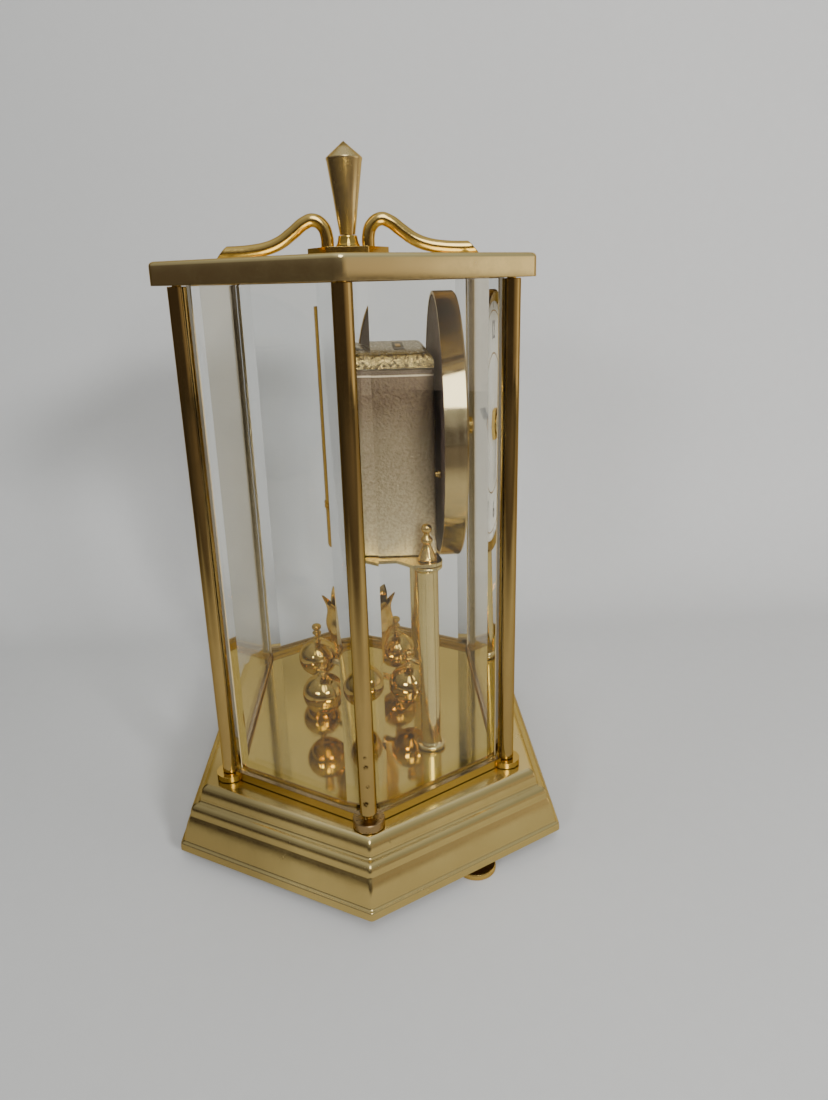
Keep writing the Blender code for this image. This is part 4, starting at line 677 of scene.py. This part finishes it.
def add_cover_catch():
    """The dark catch on the cover's top, with its bright tongue."""
    def plate(levels):
        """Stacked rectangles of (half length, half width, height over the cover)."""
        sides = ((1, 1), (-1, 1), (-1, -1), (1, -1))
        return Form().rings([[(x * a * MM, (CATCH_Y + y * b) * MM, (COVER_TOP + z) * MM) for a, b in sides]
                             for x, y, z in levels])

    holder = plate(((18.0, 2.1, -0.1), (18.0, 2.1, 0.12), (17.7, 1.8, 0.25)))
    holder.piece("catch_frame", "battery_cover", "black_enamel", black, angle=10)
    tongue = plate(((7.0, 0.9, 0.2), (7.0, 0.9, 0.35), (5.5, 0.5, 0.5)))
    tongue.piece("catch_tongue", "battery_cover", "warm_brass", warm, angle=10)


def mitre(before, corner, after, depth):
    """How far from a corner a panel's end stands at a depth, with a small gap to its neighbour."""
    gap = 0.15
    turn = (before - corner).angle(after - corner) / 2
    return (depth * math.cos(turn) + gap) / math.sin(turn)


def bevelled_panel(name, order, width, depth):
    """A glass panel whose slope at its second corner has its own width and depth, its ends ground matt."""
    plain_face, sloped_face = 4.2, 1.0
    before, a, b, after = [Vector(CORNERS[key]) for key in order]
    half = (b - a).length / 2
    start = mitre(before, a, b, sloped_face + SLOPE_DEPTH) - half
    end = half - mitre(a, b, after, sloped_face + depth)
    plain_start = mitre(before, a, b, plain_face) - half
    plain_end = half - mitre(a, b, after, plain_face)
    section = [(plain_start, plain_face), (plain_end, plain_face),
               (end, sloped_face + depth), (end - width, sloped_face),
               (start + SLOPE_WIDTH, sloped_face), (start, sloped_face + SLOPE_DEPTH)]
    middle = (a + b) / 2
    turn = Matrix.Rotation(math.atan2((b - a).y, (b - a).x), 4, "Z")
    rings = [[(x * MM, y * MM, z * MM) for x, y in section] for z in (GLASS_LOW, GLASS_TOP)]
    form = Form().rings(rings, at(middle.x, middle.y, 0) @ turn)
    made = form.piece(name + "_panel", "case", "clear_glass", clear, ("glass_" + name,), angle=5)
    made.data.materials.append(ground)
    for index in (1, 5):
        made.data.polygons[index].material_index = 1
    made.visible_shadow = False


def add_panels():
    order = ["right_corner", "rear_right", "rear_left", "left_corner", "front_left", "front_right"]
    names = ["right_rear", "rear", "left_rear", "left_front", "front", "right_front"]
    for i, name in enumerate(names):
        keys = [order[i - 1], order[i], order[(i + 1) % 6], order[(i + 2) % 6]]
        bevelled_panel(name, keys, *OWN_SLOPES.get(name, (SLOPE_WIDTH, SLOPE_DEPTH)))


def add_near_lug():
    """The flush disc round the bare rod at the near corner."""
    outline = [(1.75, 0.1), (5.2, 0.05), (5.42, 0.3), (5.42, 2.9), (5.25, 3.12), (2.05, 3.15), (1.75, 3.0),
               (1.75, 0.1)]
    form = Form().lathe(lift(outline, RING_LOW), at(*CORNERS["left_corner"], 0), 64, ends=False)
    form.piece("lug_near", "case", "warm_brass", lug)


def add_posts():
    """Tubes at the corners, and the long screws through them with their threads, shanks and heads."""
    bore, edge, chamfer, shank = 1.95, 2.75, 0.2, 1.45
    thread_low, thread_top, pitch, per_turn = 29.6, 40, 0.7, 16
    core = [(0, 29.3), (1.2, 29.35), (1.3, 40.0), (shank, 40.3), (shank, 208.4), (2.9, 208.4), (2.9, 209.8),
            (2.5, 210.2), (0, 210.2)]
    ridge = ((1.22, -0.33), (1.6, -0.06), (1.6, 0.06), (1.22, 0.33))
    for key, (x, y) in CORNERS.items():
        low = NEAR_POST_LOW if key == "left_corner" else POST_LOW
        tube = [(bore, low + 0.1), (edge, low), (POST_RADIUS, low + chamfer),
                (POST_RADIUS, POST_TOP - chamfer), (edge, POST_TOP), (bore, POST_TOP - 0.1),
                (bore - 0.03, low + 0.3)]
        # The far posts take the lighter painted-light copy of the post brass.
        Form().lathe(tube, at(x, y, 0), 56, ends=False).piece(
            "tube_" + key, "case", "dark_brass", far_posts_painted_light if "right" in key else posts, ("post_" + key,))
        form = Form().lathe(core, at(x, y, 0), 24)
        rings = []
        for i in range(int((thread_top - thread_low) / pitch * per_turn) + 1):
            a, z = math.tau * i / per_turn, thread_low + 0.1 + pitch * i / per_turn
            rings.append([(r * math.cos(a) * MM, r * math.sin(a) * MM, (z + h) * MM) for r, h in ridge])
        form.rings(rings, at(x, y, 0)).piece("screw_" + key, "case", "steel", warm, ("tie_rod_" + key,))


def add_pendulum():
    """Four balls, each with a seam round its middle and a turned stem."""
    first, quarter = 52.5, 90
    profile = [(0, -BALL_RADIUS)] + arc(BALL_RADIUS, -90, -13.5, (0, 0), 22)[1:]
    profile += [(8.15, -1.95), (7.95, -1.78), (8.15, -1.60)] + arc(BALL_RADIUS, -10.5, 74, (0, 0), 26)
    profile += rounded([
        (2.15, 8.35), (2.25, 8.65), (2.0, 8.95), (1.45, 9.1), (1.2, 9.6), (1.1, 10.6), (1.25, 11.1),
        (1.75, 11.4), (2.0, 11.9), (1.75, 12.4), (1.2, 12.7), (1.05, 13.1), (1.4, 13.45), (1.85, 13.9),
        (2.1, 14.6), (1.95, 15.3), (1.3, 15.85), (0.0, 16.05),
    ])
    for index in range(4):
        a, number = math.radians(first + quarter * index), str(index + 1)
        place = at(BALL_ORBIT * math.cos(a), PENDULUM_Y + BALL_ORBIT * math.sin(a), BALL_HEIGHT)
        Form().lathe(profile, place).piece(
            "weight_" + number, "pendulum", "polished_brass", mirror, ("pendulum_ball_" + number,))


def add_columns():
    """Columns with a moulded ring at each end, and fluted nuts on top with turned heads."""
    stud, stud_low, stud_top = 1.5, 23.8, 112.6
    ring = [(4.7, 0.0), (5.35, 0.12)] + arc(0.72, -75, 80, (4.86, 0.95), 8)
    ring += [(4.75, 1.75), (4.4, 1.85), (4.3, 2.1), (4.05, 2.5), (3.92, 3.0)]
    profile = [(0, stud_low), (stud, stud_low), (stud, COLUMN_LOW)] + lift(ring, COLUMN_LOW)
    profile += [(r, COLUMN_TOP - h) for r, h in reversed(ring)]
    profile += [(stud, COLUMN_TOP), (stud, stud_top), (0, stud_top)]

    plain, flute, half_count, low, high = 0.98, 0.05, 5, 109.3, 112.9

    def flutes(angle, height):
        return plain + (flute * abs(math.sin(half_count * angle)) if low < height < high else 0)

    nut = [(0, 4.8), (1.75, 4.8), (1.8, 0), (3.5, 0), (3.5, 0.55), (3.3, 0.8), (3.15, 1.1), (2.75, 2.0),
           (2.2, 3.4), (1.75, 4.7), (1.5, 5.5), (1.45, 5.9)]
    nut += rounded([
        (1.5, 6.05), (1.95, 6.5), (2.15, 7.1), (2.05, 7.8), (1.6, 8.5), (1.15, 9.1), (1.05, 9.6), (1.3, 10.1),
        (1.75, 10.7), (1.95, 11.6), (1.75, 12.5), (1.1, 13.15), (0, 13.4),
    ])
    for side, x in (("left", -COLUMN_X), ("right", COLUMN_X)):
        Form().lathe(profile, at(x, COLUMN_Y, 0)).piece(
            "pillar_" + side, "base", "polished_brass", polished, ("column_" + side,))
        Form().lathe(lift(nut, COLUMN_NUT_LOW), at(x, COLUMN_Y, 0), 80, flutes).piece(
            "fluted_nut_" + side, "base", "warm_brass", warm, ("column_nut_" + side,), angle=28)


def add_top():
    """The finial and the collar under it."""
    spike = [(0, 30.9), (3.1, 28.3), (6.15, 25.75), (6.42, 25.5), (6.5, 25.2), (6.45, 24.8), (6.3, 24.4)]
    spike += [(4.55, 12.36), (3.64, 5.25), (2.99, 0.93), (2.86, 0.0), (1.5, 0), (1.5, -7.0), (0, -7.0)]
    Form().lathe(lift(spike, FINIAL_LOW), None, 72).piece(
        "spike", "case", "warm_brass", spike_finish, ("finial",), angle=30)
    collar = [(1.8, 0), (4.4, 0), (4.4, 0.45), (4.25, 0.7), (4.05, 0.85), (3.95, 1.15), (3.65, 2.3)]
    collar += [(3.55, 3.1), (3.5, 3.45), (3.3, 3.8), (1.8, 3.8), (1.79, 0)]
    Form().lathe(lift(collar, COLLAR_LOW), None, 72, ends=False).piece(
        "collar", "case", "polished_brass", mirror, ("hub_collar",))


def swan_neck(name, side):
    """The mesh of a tube bent along a smooth line and cut aslant at its outer end."""
    reach, rise, rest, leg, foot, stub = 46.2, 10.4, 215.85, 7.484, 217.0, 1.2
    shares = ((0.165, 0.48), (0.193, 0.81), (0.266, 1.00), (0.336, 0.91), (0.426, 0.62), (0.533, 0.30),
              (0.641, 0.12), (0.747, 0.04), (0.866, 0.00), (1.060, 0.00))
    lean, join, rim_round = math.radians(42), 0.002, 0.25
    curve = bpy.data.curves.new("bend_" + name, "CURVE")
    curve.dimensions = "3D"
    curve.bevel_depth = HANDLE_RADIUS * MM
    curve.bevel_resolution, curve.resolution_u = 8, 8
    curve.use_fill_caps = True
    spline = curve.splines.new("BEZIER")
    line = [Vector((0, side * leg, foot))]
    line += [Vector((0, side * along * reach, rest + up * rise)) for along, up in shares]
    spline.bezier_points.add(len(line) - 1)
    for point, place in zip(spline.bezier_points, line):
        point.co = place * MM
        point.handle_left_type = point.handle_right_type = "AUTO"
    start = spline.bezier_points[0]
    start.handle_left_type = start.handle_right_type = "FREE"
    start.handle_left = (line[0] - Vector((0, 0, stub))) * MM
    start.handle_right = (line[0] + Vector((0, 0, stub))) * MM
    holder = bpy.data.objects.new("bend_" + name, curve)
    bpy.context.scene.collection.objects.link(holder)
    bpy.context.view_layer.update()
    mesh = bpy.data.meshes.new_from_object(holder.evaluated_get(bpy.context.evaluated_depsgraph_get()))
    bpy.data.objects.remove(holder)
    work = bmesh.new()
    work.from_mesh(mesh)
    bmesh.ops.remove_doubles(work, verts=work.verts, dist=join * MM)
    normal = Vector((0, side * math.cos(lean), math.sin(lean)))
    everything = list(work.verts) + list(work.edges) + list(work.faces)
    cut = bmesh.ops.bisect_plane(work, geom=everything, plane_co=Vector((0, side * reach, rest)) * MM,
                                 plane_no=normal, clear_outer=True)
    rim = [e for e in cut["geom_cut"] if isinstance(e, bmesh.types.BMEdge)]
    bmesh.ops.contextual_create(work, geom=rim)
    bmesh.ops.bevel(work, geom=rim, offset=rim_round * MM, segments=2, affect="EDGES", profile=0.5)
    bmesh.ops.recalc_face_normals(work, faces=work.faces)
    work.to_mesh(mesh)
    work.free()
    mesh.materials.clear()
    mesh.name = "swan_neck_" + name
    return mesh


def add_handles():
    for name, side in (("front", -1), ("rear", 1)):
        mesh = swan_neck(name, side)
        add_piece("swan_neck_" + name, mesh, "case", warm, ("handle_" + name,), 40)


def add_crown():
    """A thin cup whose rim opens into eight pointed petals that curl outwards."""
    shares = ((0.58, 0.0), (0.66, 0.06), (0.72, 0.18), (0.78, 0.32), (0.90, 0.48), (0.97, 0.58),
              (0.985, 0.66), (0.95, 0.74), (0.93, 0.80), (0.96, 0.88), (1.02, 0.95), (1.08, 1.0))
    path = rounded([(CROWN_RADIUS * r, CROWN_HEIGHT * h) for r, h in shares])
    around, rows, petals = 128, 30, 8
    notch, taper, ribbing, rib_start = 5.6, 0.8, 0.035, 20
    wall, floor = 0.7, 0.9

    def radius_at(height):
        for (r0, h0), (r1, h1) in zip(path, path[1:]):
            if h0 <= height <= h1 and h1 > h0:
                return r0 + (r1 - r0) * (height - h0) / (h1 - h0)
        return path[-1][0]

    def skin(inset):
        rings = []
        for row in range(rows + 1):
            ring = []
            for i in range(around):
                a = math.tau * i / around
                wave = abs(((petals * a / math.tau) % 1.0) * 2 - 1)
                top = CROWN_HEIGHT - (1 - wave ** taper) * notch
                height = max(top * row / rows, 0.0)
                rib = 1 - ribbing * (1 - wave) ** 2 * min(height / rib_start, 1)
                r = radius_at(height) * rib - inset
                z = CROWN_LOW + height + (floor if inset and row == 0 else 0)
                ring.append((r * math.cos(a) * MM, (PENDULUM_Y + r * math.sin(a)) * MM, z * MM))
            rings.append(ring)
        return rings

    bottom, inside = [[[(0, PENDULUM_Y * MM, z * MM)]] for z in (CROWN_LOW, CROWN_LOW + floor)]
    stack = bottom + skin(0) + list(reversed(skin(wall))) + inside
    Form().rings(stack).piece("petal_cup", "pendulum", "warm_brass", warm, ("pendulum_crown",), angle=40)


def add_feet():
    """Knurled discs with a turned edge on threaded studs."""
    depth, teeth, low, high = 0.028, 26, 0.35, 2.25

    def knurl(angle, height):
        return 1 - (depth * abs(math.sin(teeth * angle)) if low < height < high else 0)

    profile = [(0, 0.0), (6.3, 0.0), (6.9, 0.15), (7.2, 0.4), (7.3, 0.6), (7.3, 2.0), (7.2, 2.2), (6.9, 2.45),
               (6.3, 2.6), (3.0, 2.6), (2.6, 2.75), (1.9, 3.2), (1.9, 10.5), (0, 10.5)]
    for side, (x, y) in FEET:
        foot = "levelling_foot_" + side
        form = Form().lathe(profile, at(x, y, 0), 156, knurl)
        form.piece("knurled_foot_" + side, foot, "dark_brass", warm, (foot,))


dress_nodes()
add_base()
add_cap()
add_dial_marks()
add_cover_catch()
add_panels()
add_near_lug()
add_handles()
add_crown()
add_feet()
add_posts()
add_pendulum()
add_columns()
add_top()
add_camera()
add_world()
add_stage(floor_paint("studio_paint"))
add_light("key", (-0.73, -0.12, 0.92), 0.50, 4.4, (1.0, 0.985, 0.96), 0.92, glossy=True)
add_light("right_side", (-0.98, -0.543, 0.53), 0.20, 11.5)
add_light("left_side", (-1.05, 0.55, 0.50), 0.22, 3.8)
